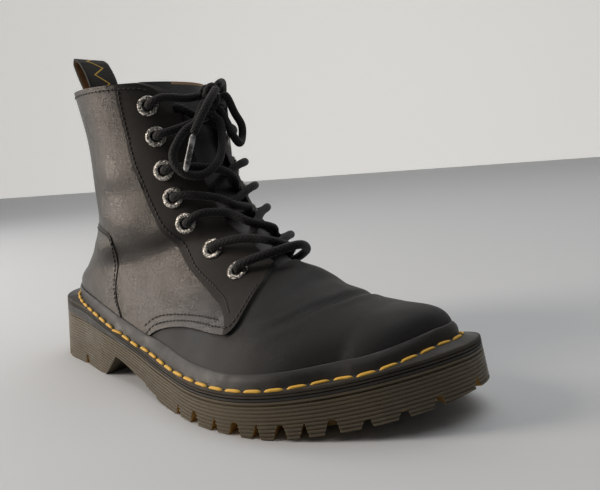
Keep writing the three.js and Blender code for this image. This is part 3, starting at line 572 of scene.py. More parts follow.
# The last's sections, from the collar to the toe: x, level, top x, top level, widest, outer, inner,
# shift, top shift, bottom power, top power. Levels run from the floor by way of the instep, 1, to the
# collar, 2.
SECTIONS = np.array([
    [0.095, 2.083, 0.379, 2.104, 0.54, 0.376, 0.34, 0.081, 1, 2, 2],
    [0.116, 1.69, 0.423, 1.716, 0.51, 0.343, 0.326, 0.087, 1, 2, 2.1],
    [0.127, 1.356, 0.457, 1.463, 0.47, 0.339, 0.327, 0.08, 1, 2, 2.15],
    [0.128, 1.106, 0.49, 1.283, 0.44, 0.338, 0.331, 0.075, 1, 1.95, 2.15],
    [0.11, 0.908, 0.524, 1.15, 0.42, 0.346, 0.341, 0.059, 1, 1.95, 2.1],
    [0.062, 0.744, 0.561, 1.081, 0.39, 0.298, 0.333, 0.038, 1, 2.05, 2.05],
    [0.029, 0.565, 0.599, 1.028, 0.43, 0.289, 0.303, 0.011, 1, 2.2, 2.05],
    [0.167, 0.21, 0.633, 0.944, 0.41, 0.342, 0.237, -0.024, 0.97, 2.5, 1.9],
    [0.342, 0.034, 0.665, 0.87, 0.42, 0.395, 0.244, -0.032, 0.92, 2.8, 1.9],
    [0.506, -0.044, 0.709, 0.83, 0.42, 0.476, 0.315, -0.024, 0.85, 3, 1.95],
    [0.653, -0.09, 0.744, 0.758, 0.42, 0.502, 0.375, -0.021, 0.74, 3, 2],
    [0.769, -0.104, 0.803, 0.681, 0.44, 0.454, 0.404, -0.008, 0.67, 3, 2.1],
    [0.866, 0.014, 0.866, 0.64, 0.46, 0.309, 0.342, 0.013, 0.86, 3, 2.4],
])
LAST_SECTION = len(SECTIONS) - 1
# Each pair of eyelets, from the top: its place down the front, in sections, and its distance from the
# centre line.
EYELETS = [(0.63, 28), (1.18, 28.5), (2, 30.5), (2.86, 31.5), (3.94, 32), (6.06, 33), (7.36, 29)]

# The panels' edges, seen from the side: shares of the length, and levels.
FRONT_EDGE = [(0.421, 0.26), (0.424, 0.34), (0.437, 0.395), (0.467, 0.452), (0.521, 0.493),
              (0.584, 0.512), (0.648, 0.52), (0.672, 0.532), (0.682, 0.58), (0.681, 0.65),
              (0.675, 0.73), (0.667, 0.79), (0.65, 0.86), (0.65, 1.2)]
STAY_EDGE = [(0.318, 2.2), (0.321, 1.97), (0.325, 1.87), (0.334, 1.73), (0.345, 1.56), (0.361, 1.42),
             (0.384, 1.26), (0.413, 1.11), (0.445, 0.96), (0.492, 0.82), (0.57, 0.69), (0.625, 0.635),
             (0.655, 0.58), (0.668, 0.5)]
COUNTER_EDGE = [(0.335, 0.4), (0.319, 0.49), (0.295, 0.57), (0.278, 0.655), (0.27, 0.775),
                (0.272, 0.88), (0.282, 0.985), (0.273, 1.065), (0.232, 1.1), (0.18, 1.12),
                (0.12, 1.13), (0.05, 1.13)]


def level(share):
    share = np.asarray(share, float)
    return np.where(share <= 1, share * INSTEP_HEIGHT,
                    INSTEP_HEIGHT + (share - 1) * (COLLAR_HEIGHT - INSTEP_HEIGHT))


def sized(place):
    # The last's section at a place, in millimetres. Past the last row it closes over the toe.
    place = np.asarray(place, float)
    t = np.clip(place, 0, LAST_SECTION)
    i = np.minimum(np.floor(t).astype(int), LAST_SECTION - 1)
    f = (t - i)[..., None]
    b, c = SECTIONS[i], SECTIONS[i + 1]
    a = np.where((i == 0)[..., None], 2 * b - c, SECTIONS[np.maximum(i - 1, 0)])
    d = np.where((i == LAST_SECTION - 1)[..., None], 2 * c - b, SECTIONS[np.minimum(i + 2, LAST_SECTION)])
    s = 0.5 * (2 * b + (c - a) * f + (2 * a - 5 * b + 4 * c - d) * f ** 2
               + (3 * b - a - 3 * c + d) * f ** 3)
    x, z, top_x, top_z = s[..., 0] * LENGTH, level(s[..., 1]), s[..., 2] * LENGTH, level(s[..., 3])
    widest, outer, inner = s[..., 4], s[..., 5] * BALL_WIDTH, s[..., 6] * BALL_WIDTH
    shift, top_shift = s[..., 7] * BALL_WIDTH, s[..., 8] * CENTRE
    q = np.clip(place - LAST_SECTION, 0, 0.9995)
    toe = place > LAST_SECTION
    narrow = np.where(toe, (1 - q ** 1.8) ** (1 / 1.8), 1)
    low = np.where(toe, (1 - q ** 4.5) ** (1 / 4.5), 1)
    base = float(level(0.21))
    x = np.where(toe, x + (0.966 * LENGTH - x) * q, x)
    top_x = np.where(toe, x, top_x)
    z = np.where(toe, base + (z - base) * low, z)
    top_z = np.where(toe, base + (top_z - base) * low, top_z)
    push = np.where(toe, 11.3 * q * q, 0)
    return (x, z, top_x, top_z, widest, outer * narrow, inner * narrow, shift + push, top_shift + push,
            s[..., 9], s[..., 10])


def bare(place, turn):
    # A point on the last: turn is 0 over the front, positive on the outer side, and pi at the back.
    x, z, top_x, top_z, widest, outer, inner, shift, top_shift, bottom_power, top_power = sized(place)
    c, s = np.cos(turn), np.sin(turn)
    power = 2 / np.where(c >= 0, top_power, bottom_power)
    reach = np.abs(c) ** power
    share = np.where(c >= 0, widest + (1 - widest) * reach, widest * (1 - reach))
    width = np.abs(s) ** power * np.where(np.asarray(turn) > 0, -outer, inner)
    rise = share * share * (3 - 2 * share)
    return np.stack([x + (top_x - x) * share, shift + (top_shift - shift) * rise + width,
                     z + (top_z - z) * share], -1)


def normal_at(place, turn):
    d = 0.03
    p = np.clip(place, d, LAST_SECTION + 0.96)
    turn = np.where(np.asarray(turn) == 0, 1e-6, turn)
    run = bare(p + d, turn) - bare(p - d, turn)
    around = bare(p, turn + d) - bare(p, turn - d)
    n = np.cross(around, run)
    return n / np.linalg.norm(n, axis=-1, keepdims=True)


def last(place, turn, lift=0.0):
    place, turn = np.broadcast_arrays(np.asarray(place, float), np.asarray(turn, float))
    return bare(place, turn) + normal_at(place, turn) * lift


def last_places(count):
    # Even steps down the last, closer together at the toe.
    fine = np.r_[np.linspace(0, 12, 600), 12 + (1 - (1 - np.linspace(0.005, 0.93, 200)) ** 2)]
    side = bare(fine, np.full(len(fine), 1.2))
    top = bare(fine, np.full(len(fine), 1e-6))
    side_steps = np.linalg.norm(np.diff(side, axis=0), axis=1)
    top_steps = np.linalg.norm(np.diff(top, axis=0), axis=1)
    run = np.r_[0, np.cumsum(np.maximum(side_steps, top_steps))]
    return np.interp(np.linspace(0, run[-1], count), run, fine)


def last_solid(name, lift, rows=130, columns=150):
    turn = np.pi * (2 * np.arange(columns) / columns - 1)
    turn = np.where(np.abs(turn) < 1e-9, 1e-9, turn)
    places = last_places(rows)
    lifts = lift(places) if callable(lift) else np.full(rows, float(lift))
    return loft(name, [last(np.full(columns, p), turn, k) for p, k in zip(places, lifts)])


def on_front(place, across, lift=0.0):
    # A point and its normal on the last's front, so far from the centre line along the leather.
    low, high = -np.pi / 2, np.pi / 2
    for _ in range(40):
        turn = (low + high) / 2
        if bare(place, turn)[1] > CENTRE:
            low = turn
        else:
            high = turn
    turn = low
    step = -np.sign(across) * 0.01
    here, left = bare(place, turn), abs(across)
    while left > 0:
        ahead = bare(place, turn + step)
        stride = np.linalg.norm(ahead - here)
        turn += step * min(1, left / stride)
        left -= stride
        here = ahead
    return last(place, turn, lift), normal_at(place, turn)


def sideways(points):
    return [(x * LENGTH, float(level(z))) for x, z in points]


def side_band(name, low, high):
    xs = np.linspace(-0.04, 1.04, 90) * LENGTH
    lower = [(x, float(seam(x)) + low) for x in xs]
    upper_line = [(x, float(seam(x)) + high) for x in xs[::-1]]
    return prism(name, lower + upper_line, -BALL_WIDTH, BALL_WIDTH)


def smooth_line(points, count=60):
    p = np.asarray(points, float)
    run = run_along(p)
    at = np.linspace(0, run[-1], count)
    k = np.clip(np.searchsorted(run, at, side="right") - 1, 0, len(p) - 2)
    u = ((at - run[k]) / (run[k + 1] - run[k]))[:, None]
    before = np.maximum(np.arange(len(p)) - 1, 0)
    after = np.minimum(np.arange(len(p)) + 1, len(p) - 1)
    slope = (p[after] - p[before]) / (run[after] - run[before])[:, None]
    span = (run[k + 1] - run[k])[:, None]
    rise = u * u * (3 - 2 * u)
    return (p[k] * (1 - rise) + p[k + 1] * rise + u * (1 - u) ** 2 * span * slope[k]
            + u * u * (u - 1) * span * slope[k + 1])


def inside(points, polygon):
    x, z = points[:, 0], points[:, 1]
    result = np.zeros(len(points), bool)
    poly = np.asarray(polygon, float)
    for (x1, z1), (x2, z2) in zip(poly, np.roll(poly, -1, axis=0)):
        crossing = (z1 > z) != (z2 > z)
        with np.errstate(divide="ignore", invalid="ignore"):
            at = (x2 - x1) * (z - z1) / (z2 - z1) + x1
        result ^= crossing & (x < at)
    return result


# Soft troughs where the leather bends, in millimetres: points, width and depth. A ridge lies
# beside each.
CREASES = [
    # over the vamp, where the toes bend, and a fainter one behind it
    ([(200, -36, 40), (209.2, -30.1, 44.6), (214.5, -23.7, 47.2), (219.7, -11.8, 50.8),
      (223.7, 0.5, 52.2), (224.5, 11.4, 52.5), (224, 24, 50.5), (220, 36, 45)], 2.1, 1.25),
    ([(196, -40, 40), (201, -30, 49), (205, -19, 54), (207, -6, 57), (207, 6, 58), (203, 18, 56)],
     4.2, 0.35),
    # the ankle's fold on the outer side, and the folds below, above and in front of it
    ([(52, -22, 88), (62, -24, 85), (68.3, -25, 82.1), (81.8, -27, 80), (97.3, -27, 80.1),
      (112, -25, 84)], 5.5, 1.5),
    ([(72, -25, 73), (86, -27, 67), (96, -28, 60), (103, -30, 50)], 6, 0.9),
    ([(60, -23, 108), (76, -25, 106), (94, -24, 107), (108, -22, 110)], 6, 0.7),
    ([(113, -27, 68), (124, -28, 58), (136, -31, 48)], 5.0, 0.7),
    # the inner side's ankle and vamp
    ([(60, 38, 92), (80, 41, 90), (100, 38, 86)], 5.0, 1.1),
    ([(196, 44, 40), (204, 36, 48), (209, 26, 53), (211, 16, 56)], 4.0, 0.6),
]


def creased(piece):
    mesh = piece.data
    count = len(mesh.vertices)
    co = np.empty(count * 3)
    mesh.vertices.foreach_get("co", co)
    co = co.reshape(-1, 3)
    normal = np.empty(count * 3)
    mesh.vertex_normals.foreach_get("vector", normal)
    normal = normal.reshape(-1, 3)
    p = co * 1000 + MIDDLE
    push = np.zeros(count)
    for points, width, depth in CREASES:
        line = smooth_line(points, 80)
        near = np.full(count, 1e9)
        along = np.zeros(count)
        box_low, box_high = line.min(0) - 4 * width, line.max(0) + 4 * width
        pick = np.where(((p > box_low) & (p < box_high)).all(1))[0]
        if not len(pick):
            continue
        d = np.linalg.norm(p[pick, None, :] - line[None], axis=2)
        near[pick] = d.min(1)
        along[pick] = d.argmin(1) / (len(line) - 1)
        fade = np.sin(np.pi * np.clip(along, 0, 1)) ** 0.6
        trough = -np.exp(-(near / width) ** 2)
        ridge = 0.55 * np.exp(-((near - 2 * width) / width) ** 2)
        push += fade * depth * (trough + ridge)
    co += normal * (push / 1000)[:, None]
    mesh.vertices.foreach_set("co", co.ravel())
    mesh.update()


def leather(name, colour, light, roughness, grain=1500, pores=0.1, folds=0.3):
    # Clouded colour and polish, with soft dents, fine folds and a grain of small cells.
    material, tree, shader = finish(name, colour, roughness)
    clouds = object_noise(tree, 14, 5)
    tones = ramp(tree, clouds.outputs["Fac"], [(0.32, colour), (0.75, light)])
    tree.links.new(tones.outputs["Color"], shader.inputs["Base Color"])
    polish = object_noise(tree, 38, 4)
    dull = [(0.3, grey(roughness - 0.06)), (0.7, grey(roughness + 0.08))]
    gloss = ramp(tree, polish.outputs["Fac"], dull)
    tree.links.new(gloss.outputs["Color"], shader.inputs["Roughness"])
    place = tree.nodes.new("ShaderNodeTexCoord")
    cells = tree.nodes.new("ShaderNodeTexVoronoi")
    cells.feature = "DISTANCE_TO_EDGE"
    cells.inputs["Scale"].default_value = grain
    warp = object_noise(tree, 500, 2)
    shifted = tree.nodes.new("ShaderNodeMix")
    shifted.data_type = "VECTOR"
    shifted.inputs[0].default_value = 0.003
    tree.links.new(place.outputs["Object"], shifted.inputs[4])
    tree.links.new(warp.outputs["Color"], shifted.inputs[5])
    tree.links.new(shifted.outputs[1], cells.inputs["Vector"])
    flat = ramp(tree, cells.outputs["Distance"], [(0.0, grey(0)), (0.22, grey(1))])
    soft = object_noise(tree, 90, 3)
    wrinkle = object_noise(tree, 330, 4, (1, 1, 2.2))
    first = bumped(tree, shader, soft.outputs["Fac"], 0.1, 0.002)
    second = bumped(tree, shader, wrinkle.outputs["Fac"], folds, 0.0006, first)
    bumped(tree, shader, flat.outputs["Color"], pores, 0.0003, second)
    return material


black_leather = leather("quarter_leather", LEATHER, LEATHER_LIGHT, 0.3, 1000, pores=0.31, folds=0.16)
waxed = black_leather.node_tree.nodes["Principled BSDF"]
waxed.inputs["Specular Tint"].default_value = (1, 0.93, 0.86, 1)
vamp_leather = leather("vamp_leather", VAMP_LEATHER, VAMP_LIGHT, 0.55, 1300, pores=0.2, folds=0.15)
stay_leather = leather("eyestay_leather", STAY_LEATHER, STAY_LIGHT, 0.66, 1300, pores=0.2, folds=0.12)
for matt in (vamp_leather, stay_leather):
    matt.node_tree.nodes["Principled BSDF"].inputs["Specular IOR Level"].default_value = 0.28
lining_leather = leather("lining_leather", LINING, (0.42, 0.28, 0.16), 0.75, 900)
edge_leather = leather("cut_edge", (0.03, 0.022, 0.016), (0.05, 0.037, 0.027), 0.7, 700)


def softened(edge, drawn, count):
    # The drawn points of an edge as a smooth line, and the rest of it as it is.
    return [tuple(p) for p in smooth_line(edge[:drawn], count)] + edge[drawn:]


def per_face(mesh, what):
    values = np.empty(len(mesh.polygons) * 3)
    mesh.polygons.foreach_get(what, values)
    return values.reshape(-1, 3)


def which_leather(shell, quarter_edge, stay_edge):
    centre = per_face(shell.data, "center") * 1000 + MIDDLE
    normal = per_face(shell.data, "normal")
    side = centre[:, [0, 2]]
    # Vamp 0, quarter 1, eyestay 2, lining 3, cut edge 4.
    kind = np.zeros(len(centre), int)
    in_quarter = inside(side, quarter_edge) & (np.abs(centre[:, 1] - CENTRE) > THROAT / 2 - 0.05)
    kind[in_quarter | (side[:, 0] < 0.3 * LENGTH)] = 1
    kind[in_quarter & inside(side, stay_edge)] = 2
    # Faces that look back at the foot are lining.
    probe = last_solid("probe", -WALL / 2, 80, 90)
    mid_wall = BVHTree.FromObject(probe, bpy.context.evaluated_depsgraph_get())
    lined = []
    for here, way in zip(metres(centre), normal):
        spot, facing, _, _ = mid_wall.find_nearest(Vector(here))
        away = Vector(here) - spot
        lined.append(away.dot(facing) < 0 and Vector(way).dot(facing) < -0.4)
    kind[np.array(lined)] = 3
    drop(probe)
    level_face = (np.abs(normal[:, 2]) > 0.9) & (centre[:, 2] > COLLAR_HEIGHT - 0.5)
    kind[level_face] = 4
    return kind


def upper():
    half = THROAT / 2
    wide = BALL_WIDTH
    quarter_edge = [*sideways(FRONT_EDGE), (0.65 * LENGTH, 2.5 * COLLAR_HEIGHT),
                    (-0.1 * LENGTH, 2.5 * COLLAR_HEIGHT), (-0.1 * LENGTH, -COLLAR_HEIGHT),
                    (0.421 * LENGTH, -COLLAR_HEIGHT)]
    stay_edge = [*sideways(STAY_EDGE), (0.668 * LENGTH, 0), (0.95 * LENGTH, 0),
                 (0.95 * LENGTH, 2 * COLLAR_HEIGHT), (0.318 * LENGTH, 2 * COLLAR_HEIGHT)]
    counter_edge = [(0.335 * LENGTH, 0), *sideways(COUNTER_EDGE),
                    (-0.1 * LENGTH, float(level(1.13))), (-0.1 * LENGTH, 0)]
    smooth_quarter = softened(quarter_edge, len(FRONT_EDGE), 90)
    smooth_stay = softened(stay_edge, len(STAY_EDGE), 90)
    smooth_counter = softened(counter_edge, len(COUNTER_EDGE) + 1, 70)

    def both_sides(name, edge):
        return join(prism(name, edge, -wide, CENTRE - half), prism(name, edge, CENTRE + half, wide))

    shell = last_solid("upper_leather", 0)
    quarters = meet(last_solid("quarters", OVERLAY), both_sides("quarter_side", smooth_quarter))
    stays = meet(last_solid("stays", OVERLAY + STAY), both_sides("stay_side", smooth_stay),
                 both_sides("quarter_side", smooth_quarter))
    counter = meet(last_solid("counter", OVERLAY + STAY), prism("counter_side", smooth_counter, -wide, wide))
    strip = meet(last_solid("strip", OVERLAY + STAY), prism("strip_side", [
        (-0.1 * LENGTH, 0), (0.2 * LENGTH, 0), (0.2 * LENGTH, 2 * COLLAR_HEIGHT),
        (-0.1 * LENGTH, 2 * COLLAR_HEIGHT)], CENTRE / 2 - STRIP_WIDTH / 2, CENTRE / 2 + STRIP_WIDTH / 2))
    throat = prism("throat", [
        (0.2 * LENGTH, 2 * COLLAR_HEIGHT),
        *sideways([(0.28, 2), (0.3, 1.6), (0.36, 1.2), (0.46, 0.9), (0.58, 0.72), (0.648, 0.7),
                   (0.66, 0.76), (0.662, 1)]),
        (0.662 * LENGTH, 2 * COLLAR_HEIGHT)], CENTRE - half, CENTRE + half)
    corner = smooth_line(sideways([(0.355, 2), (0.372, 1.975), (0.384, 1.94), (0.392, 1.88), (0.4, 1.8)]), 14)
    collar = prism("collar_cut", [
        (-0.1 * LENGTH, COLLAR_HEIGHT), *[tuple(p) for p in corner], (0.7 * LENGTH, float(level(1.8))),
        (0.7 * LENGTH, 2 * COLLAR_HEIGHT), (-0.1 * LENGTH, 2 * COLLAR_HEIGHT)], -wide, wide)
    join(shell, quarters, stays, counter, strip)
    cut(shell, last_solid("hollow", -WALL, 80, 90), throat, collar)
    for place, span in EYELETS:
        for side in (-1, 1):
            point, normal = on_front(place, side * span, OVERLAY + STAY + GAP)
            turn = Vector(normal).to_track_quat("Z", "Y").to_matrix()
            angles = [2 * math.pi * i / HOLE_SIDES for i in range(HOLE_SIDES)]
            ring = [(EYELET_HOLE * math.cos(a), EYELET_HOLE * math.sin(a)) for a in angles]
            rings = [[point + np.array(turn @ Vector((*p, low))) for p in ring] for low in (-8, 8)]
            cut(shell, loft("bore", rings))
    meet(shell, side_band("above_welt", -WELT_THICKNESS, 2 * COLLAR_HEIGHT))
    shell.data.materials.clear()
    for material in (vamp_leather, black_leather, stay_leather, lining_leather, edge_leather):
        shell.data.materials.append(material)
    kind = which_leather(shell, smooth_quarter, smooth_stay)
    shell.data.polygons.foreach_set("material_index", kind)
    crisp(shell, 32)
    creased(shell)
    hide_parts("upper")
    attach(shell, "root")
    return shell


boot_upper = upper()
surface = BVHTree.FromObject(boot_upper, bpy.context.evaluated_depsgraph_get())


# Welt: a black rubber and leather strip that runs round the boot, stitched down through its ledge,
# with a smooth raised lip against the upper.
LIP_HEIGHT = 6.2
LIP_THICKNESS = 1.7
WELT_POINTS = 280
# Heights above the seam at which the upper's place is found.
WELT_HEIGHTS = [-WELT_THICKNESS, -1, 1, 3, 4.5, LIP_HEIGHT]
# Up the rim, with the groove between its two layers: inset and depth below the seam.
WELT_RIM = [(0.8, WELT_THICKNESS), (0.05, 2.95), (0, 2.1), (0.5, 1.9), (0.5, 1.6), (0, 1.45), (0.05, 0.5),
            (0.3, 0.15), (0.8, 0)]
# Up the lip, over it, and down against the upper: row of WELT_HEIGHTS, distance out from the upper, and
# depth below the seam.
WELT_LIP = [(2, LIP_THICKNESS + 0.5, 0), (2, LIP_THICKNESS + 0.15, -0.2), (2, LIP_THICKNESS, -0.8),
            (3, 0.93 * LIP_THICKNESS, -3), (4, 0.75 * LIP_THICKNESS, -4.7), (5, 0.75, -5.8),
            (5, 0.4, -LIP_HEIGHT), (5, 0, -LIP_HEIGHT), (4, 0, -4.5), (3, 0, -3), (2, 0, -1), (1, 0, 1),
            (0, 0, WELT_THICKNESS)]


def from_outside(turn, height):
    # How far in from the rim the upper stands, at a height above the seam.
    rim = outline_at(turn, 0)
    ahead = outline_at(turn + 0.02, 0) - outline_at(turn - 0.02, 0)
    ahead /= np.linalg.norm(ahead)
    inward = Vector((-ahead[1], ahead[0], 0))
    start = Vector(metres((rim[0], rim[1], float(seam(outline_point(turn)[0])) + height))) - inward * 0.004
    hit, _, _, distance = surface.ray_cast(start, inward, 0.05)
    return None if hit is None else distance * 1000 - 4


def welt():
    turns = around_sole(WELT_POINTS)
    # Where the upper stands, evened out, so that the lip hugs it all round.
    table = np.array([[from_outside(t, h) or np.nan for h in WELT_HEIGHTS] for t in turns])
    for k in range(len(WELT_HEIGHTS)):
        line = table[:, k]
        bad = np.isnan(line)
        line[bad] = np.interp(np.where(bad)[0], np.where(~bad)[0], line[~bad], period=len(turns))
        padded_line = np.r_[line[-4:], line, line[:4]]
        table[:, k] = np.minimum(line, np.convolve(padded_line, np.ones(9) / 9, "valid") + 0.25)
    inner = table - GAP

    def ring(insets, depth):
        x0 = outline_point(turns)[:, 0]
        p = outline_at(turns, insets, np.clip(depth / seam(x0), 0, 1))
        return np.column_stack([p, seam(x0) - depth])

    rings = [ring(np.full(len(turns), inset), depth) for inset, depth in WELT_RIM]
    rings += [ring(inner[:, k] - out, depth) for k, out, depth in WELT_LIP]
    piece = loft("welt_strip", rings, endless=True)
    piece.data.materials.append(rubber("welt_lip", (0.012, 0.011, 0.01), (0.018, 0.016, 0.014), 0.5, 1400))
    piece.data.materials.append(rubber("worn_ledge", (0.015, 0.0125, 0.01), (0.05, 0.039, 0.026), 0.75, 700))
    # The lip's upward top faces take a lighter colour: partly wear on its edge, partly a painted highlight.
    piece.data.materials.append(rubber("lip_top_wear_and_painted_highlight", (0.03, 0.027, 0.024), (0.09, 0.082, 0.075), 0.6, 1400))
    for face in piece.data.polygons:
        centre = np.array(face.center) * 1000 + MIDDLE
        high = centre[2] - float(seam(centre[0]))
        if high > LIP_HEIGHT - 0.1 and face.normal.z > 0.8:
            face.material_index = 2
        elif high < 0.15:
            face.material_index = 1
    crisp(piece, 50)
    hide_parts("welt")
    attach(piece, "root")
    return turns, inner[:, 2] - LIP_THICKNESS


around_welt, lip_foot = welt()


# Stitches: waxed thread, heavy and yellow through the welt, fine and black along the seams. Each
# stitch is a short rounded bar that dips at its ends.
WELT_PITCH = 10.15
WELT_STITCH = (8.9, 1.9, 1.5)
WELT_STITCH_IN = 1.4
SEAM_PITCH = 2.9
SEAM_STITCH = (2.3, 0.95, 0.8)
YELLOW = (0.74, 0.42, 0.05)
BLACK = (0.012, 0.011, 0.01)


def stitch_shape(name, length, width, height):
    rows, sides = 9, 8
    rings = []
    for i in range(rows):
        t = -1 + 2 * i / (rows - 1)
        swell = (1 - abs(t) ** 4) ** 0.5 if abs(t) < 1 else 0.12
        dip = -0.22 * height * t ** 4
        rings.append([(t * length / 2, width / 2 * swell * math.cos(2 * math.pi * j / sides),
                       dip + height / 2 * swell * math.sin(2 * math.pi * j / sides)) for j in range(sides)])
    points = np.concatenate([np.array(r) for r in rings]) / 1000
    faces = tube_faces(rows, sides) + [tuple(range(sides)),
                                       tuple((rows - 1) * sides + i for i in reversed(range(sides)))]
    return outward(mesh_piece(name, points, faces))


def repeat_tree():
    # Puts one copy of a shape on every point, its Z along "facing" and its X along "heading".
    tree = bpy.data.node_groups.new("repeat_shape", "GeometryNodeTree")
    face = tree.interface
    face.new_socket("Geometry", in_out="INPUT", socket_type="NodeSocketGeometry")
    face.new_socket("Shape", in_out="INPUT", socket_type="NodeSocketObject")
    face.new_socket("Size", in_out="INPUT", socket_type="NodeSocketFloat").default_value = 1
    face.new_socket("Finish", in_out="INPUT", socket_type="NodeSocketMaterial")
    face.new_socket("Geometry", in_out="OUTPUT", socket_type="NodeSocketGeometry")
    nodes, links = tree.nodes, tree.links
    start, end = nodes.new("NodeGroupInput"), nodes.new("NodeGroupOutput")
    shape = nodes.new("GeometryNodeObjectInfo")
    place = nodes.new("GeometryNodeInstanceOnPoints")
    facing, heading = (nodes.new("GeometryNodeInputNamedAttribute") for _ in range(2))
    for node, name in ((facing, "facing"), (heading, "heading")):
        node.data_type = "FLOAT_VECTOR"
        node.inputs["Name"].default_value = name
    axes = nodes.new("FunctionNodeAxesToRotation")
    axes.primary_axis, axes.secondary_axis = "Z", "X"
    realize = nodes.new("GeometryNodeRealizeInstances")
    paint = nodes.new("GeometryNodeSetMaterial")
    links.new(start.outputs["Geometry"], place.inputs["Points"])
    links.new(start.outputs["Shape"], shape.inputs["Object"])
    links.new(shape.outputs["Geometry"], place.inputs["Instance"])
    links.new(start.outputs["Size"], place.inputs["Scale"])
    links.new(facing.outputs["Attribute"], axes.inputs["Primary Axis"])
    links.new(heading.outputs["Attribute"], axes.inputs["Secondary Axis"])
    links.new(axes.outputs["Rotation"], place.inputs["Rotation"])
    links.new(place.outputs["Instances"], realize.inputs["Geometry"])
    links.new(realize.outputs["Geometry"], paint.inputs["Geometry"])
    links.new(start.outputs["Finish"], paint.inputs["Material"])
    links.new(paint.outputs["Geometry"], end.inputs["Geometry"])
    return tree


shape_repeater = repeat_tree()


def repeated(name, points, facing, heading, shape, material):
    piece = mesh_piece(name, metres(points), [])
    for label, vectors in (("facing", facing), ("heading", heading)):
        attribute = piece.data.attributes.new(label, "FLOAT_VECTOR", "POINT")
        attribute.data.foreach_set("vector", np.asarray(vectors, float).ravel())
    step = piece.modifiers.new("repeat", "NODES")
    step.node_group = shape_repeater
    values = {"Shape": shape, "Size": 1.0, "Finish": material}
    for socket in shape_repeater.interface.items_tree:
        if socket.in_out == "INPUT" and socket.name in values:
            step[socket.identifier] = values[socket.name]
    depsgraph = bpy.context.evaluated_depsgraph_get()
    result = bpy.data.meshes.new_from_object(piece.evaluated_get(depsgraph))
    piece.modifiers.clear()
    piece.data = result
    for label in ("facing", "heading"):
        if label in result.attributes:
            result.attributes.remove(result.attributes[label])
    return piece


def evenly(line, normals, pitch):
    line = np.asarray(line, float)
    run = run_along(line)
    at = np.arange(pitch / 2, run[-1] - pitch / 2 + 1e-6, pitch)
    spots = np.column_stack([np.interp(at, run, line[:, i]) for i in range(3)])
    ahead = np.column_stack([np.interp(at + 0.5, run, line[:, i]) for i in range(3)])
    behind = np.column_stack([np.interp(at - 0.5, run, line[:, i]) for i in range(3)])
    facing = np.column_stack([np.interp(at, run, np.asarray(normals)[:, i]) for i in range(3)])
    heading = ahead - behind
    return spots, facing, heading / np.linalg.norm(heading, axis=1, keepdims=True)


def thread(name, colour):
    material, tree, shader = finish(name, colour, 0.55)
    twist = object_noise(tree, 1800, 2)
    bumped(tree, shader, twist.outputs["Fac"], 0.4, 0.0003)
    return material


def welt_stitches():
    turns = np.linspace(0, 2 * np.pi, 1200)
    p = outline_at(turns, np.interp(turns, around_welt, lip_foot, period=2 * np.pi) - WELT_STITCH_IN)
    x0 = outline_point(turns)[:, 0]
    line = np.column_stack([p, seam(x0) + 0.3])
    up = np.tile((0.0, 0.0, 1.0), (len(line), 1))
    spots, facing, heading = evenly(line, up, WELT_PITCH)
    facing = facing - heading * np.sum(facing * heading, axis=1, keepdims=True)
    shape = stitch_shape("stitch", *WELT_STITCH)
    piece = repeated("welt_stitches", spots, facing, heading, shape, thread("yellow_thread", YELLOW))
    drop(shape)
    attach(piece, "root")


welt_stitches()

# The seams that show from the side, in millimetres.
SEAM_ROWS = [
    # the facing's seam
    [(91.6, 165), (92.7, 156), (95, 144), (98.3, 129), (102.9, 116.5), (109.4, 102), (117.8, 88.5),
     (126, 79), (139.2, 65.8), (160.5, 55.9), (174.5, 51.6), (183, 48.3)],
    # the quarter's lower edge, two rows
    [(118.5, 30.5), (124, 35.6), (131, 38.2), (145, 40.6), (163, 42), (181, 42.8), (187.5, 44), (189, 49),
     (187.6, 55), (185.6, 60)],
    [(115.7, 34.5), (122, 39), (129.5, 41.4), (141.4, 43), (157.4, 44.2), (178, 45.2)],
    # the counter
    [(91.2, 35.5), (87.5, 39), (80.8, 44.5), (76.2, 51.5), (74.1, 60), (74.4, 68), (77.3, 76), (74.8, 81),
     (64, 84), (48, 85.8), (32, 86.3)],
    # below the collar
    [(34, 165.7), (50, 165.7), (70, 165.7), (88, 165.7), (99, 165.4), (103.3, 164.2), (105.6, 162.2)],
]


def on_side(points, side):
    # Carries a line drawn from the side onto the leather.
    line, normals = [], []
    for x, z in smooth_line(points, 160):
        start = Vector(metres((x, side * 90, z)))
        hit, normal, _, _ = surface.ray_cast(start, Vector((0, -side, 0)), 0.2)
        if hit is not None:
            line.append(np.array(hit) * 1000 + MIDDLE)
            normals.append(np.array(normal))
    return line, normals


def seam_stitches():
    shape = stitch_shape("stitch", *SEAM_STITCH)
    spots, facing, heading = [], [], []
    for points in SEAM_ROWS:
        for side in (-1, 1):
            line, normals = on_side(points, side)
            if len(line) > 8:
                place, up, ahead = evenly(line, normals, SEAM_PITCH)
                spots.append(place + up * 0.12)
                facing.append(up)
                heading.append(ahead)
    piece = repeated("seam_stitches", np.concatenate(spots), np.concatenate(facing), np.concatenate(heading),
                     shape, thread("black_thread", BLACK))
    drop(shape)
    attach(piece, "root")


seam_stitches()


# Tongue: softer leather with a raw tan top edge, sewn in behind the facings and padded a little.
TONGUE_THICKNESS = 2.2
TONGUE_WIDTH = 50
TONGUE_RISE = 0.8
RAW_EDGE = 2.6
TONGUE_EDGE = [(0.345, 1.6), (0.39, 1.28), (0.46, 0.98), (0.53, 0.84), (0.6, 0.74), (0.72, 0.68), (0.72, 1),
               (0.65, 1.1), (0.5, 1.6)]


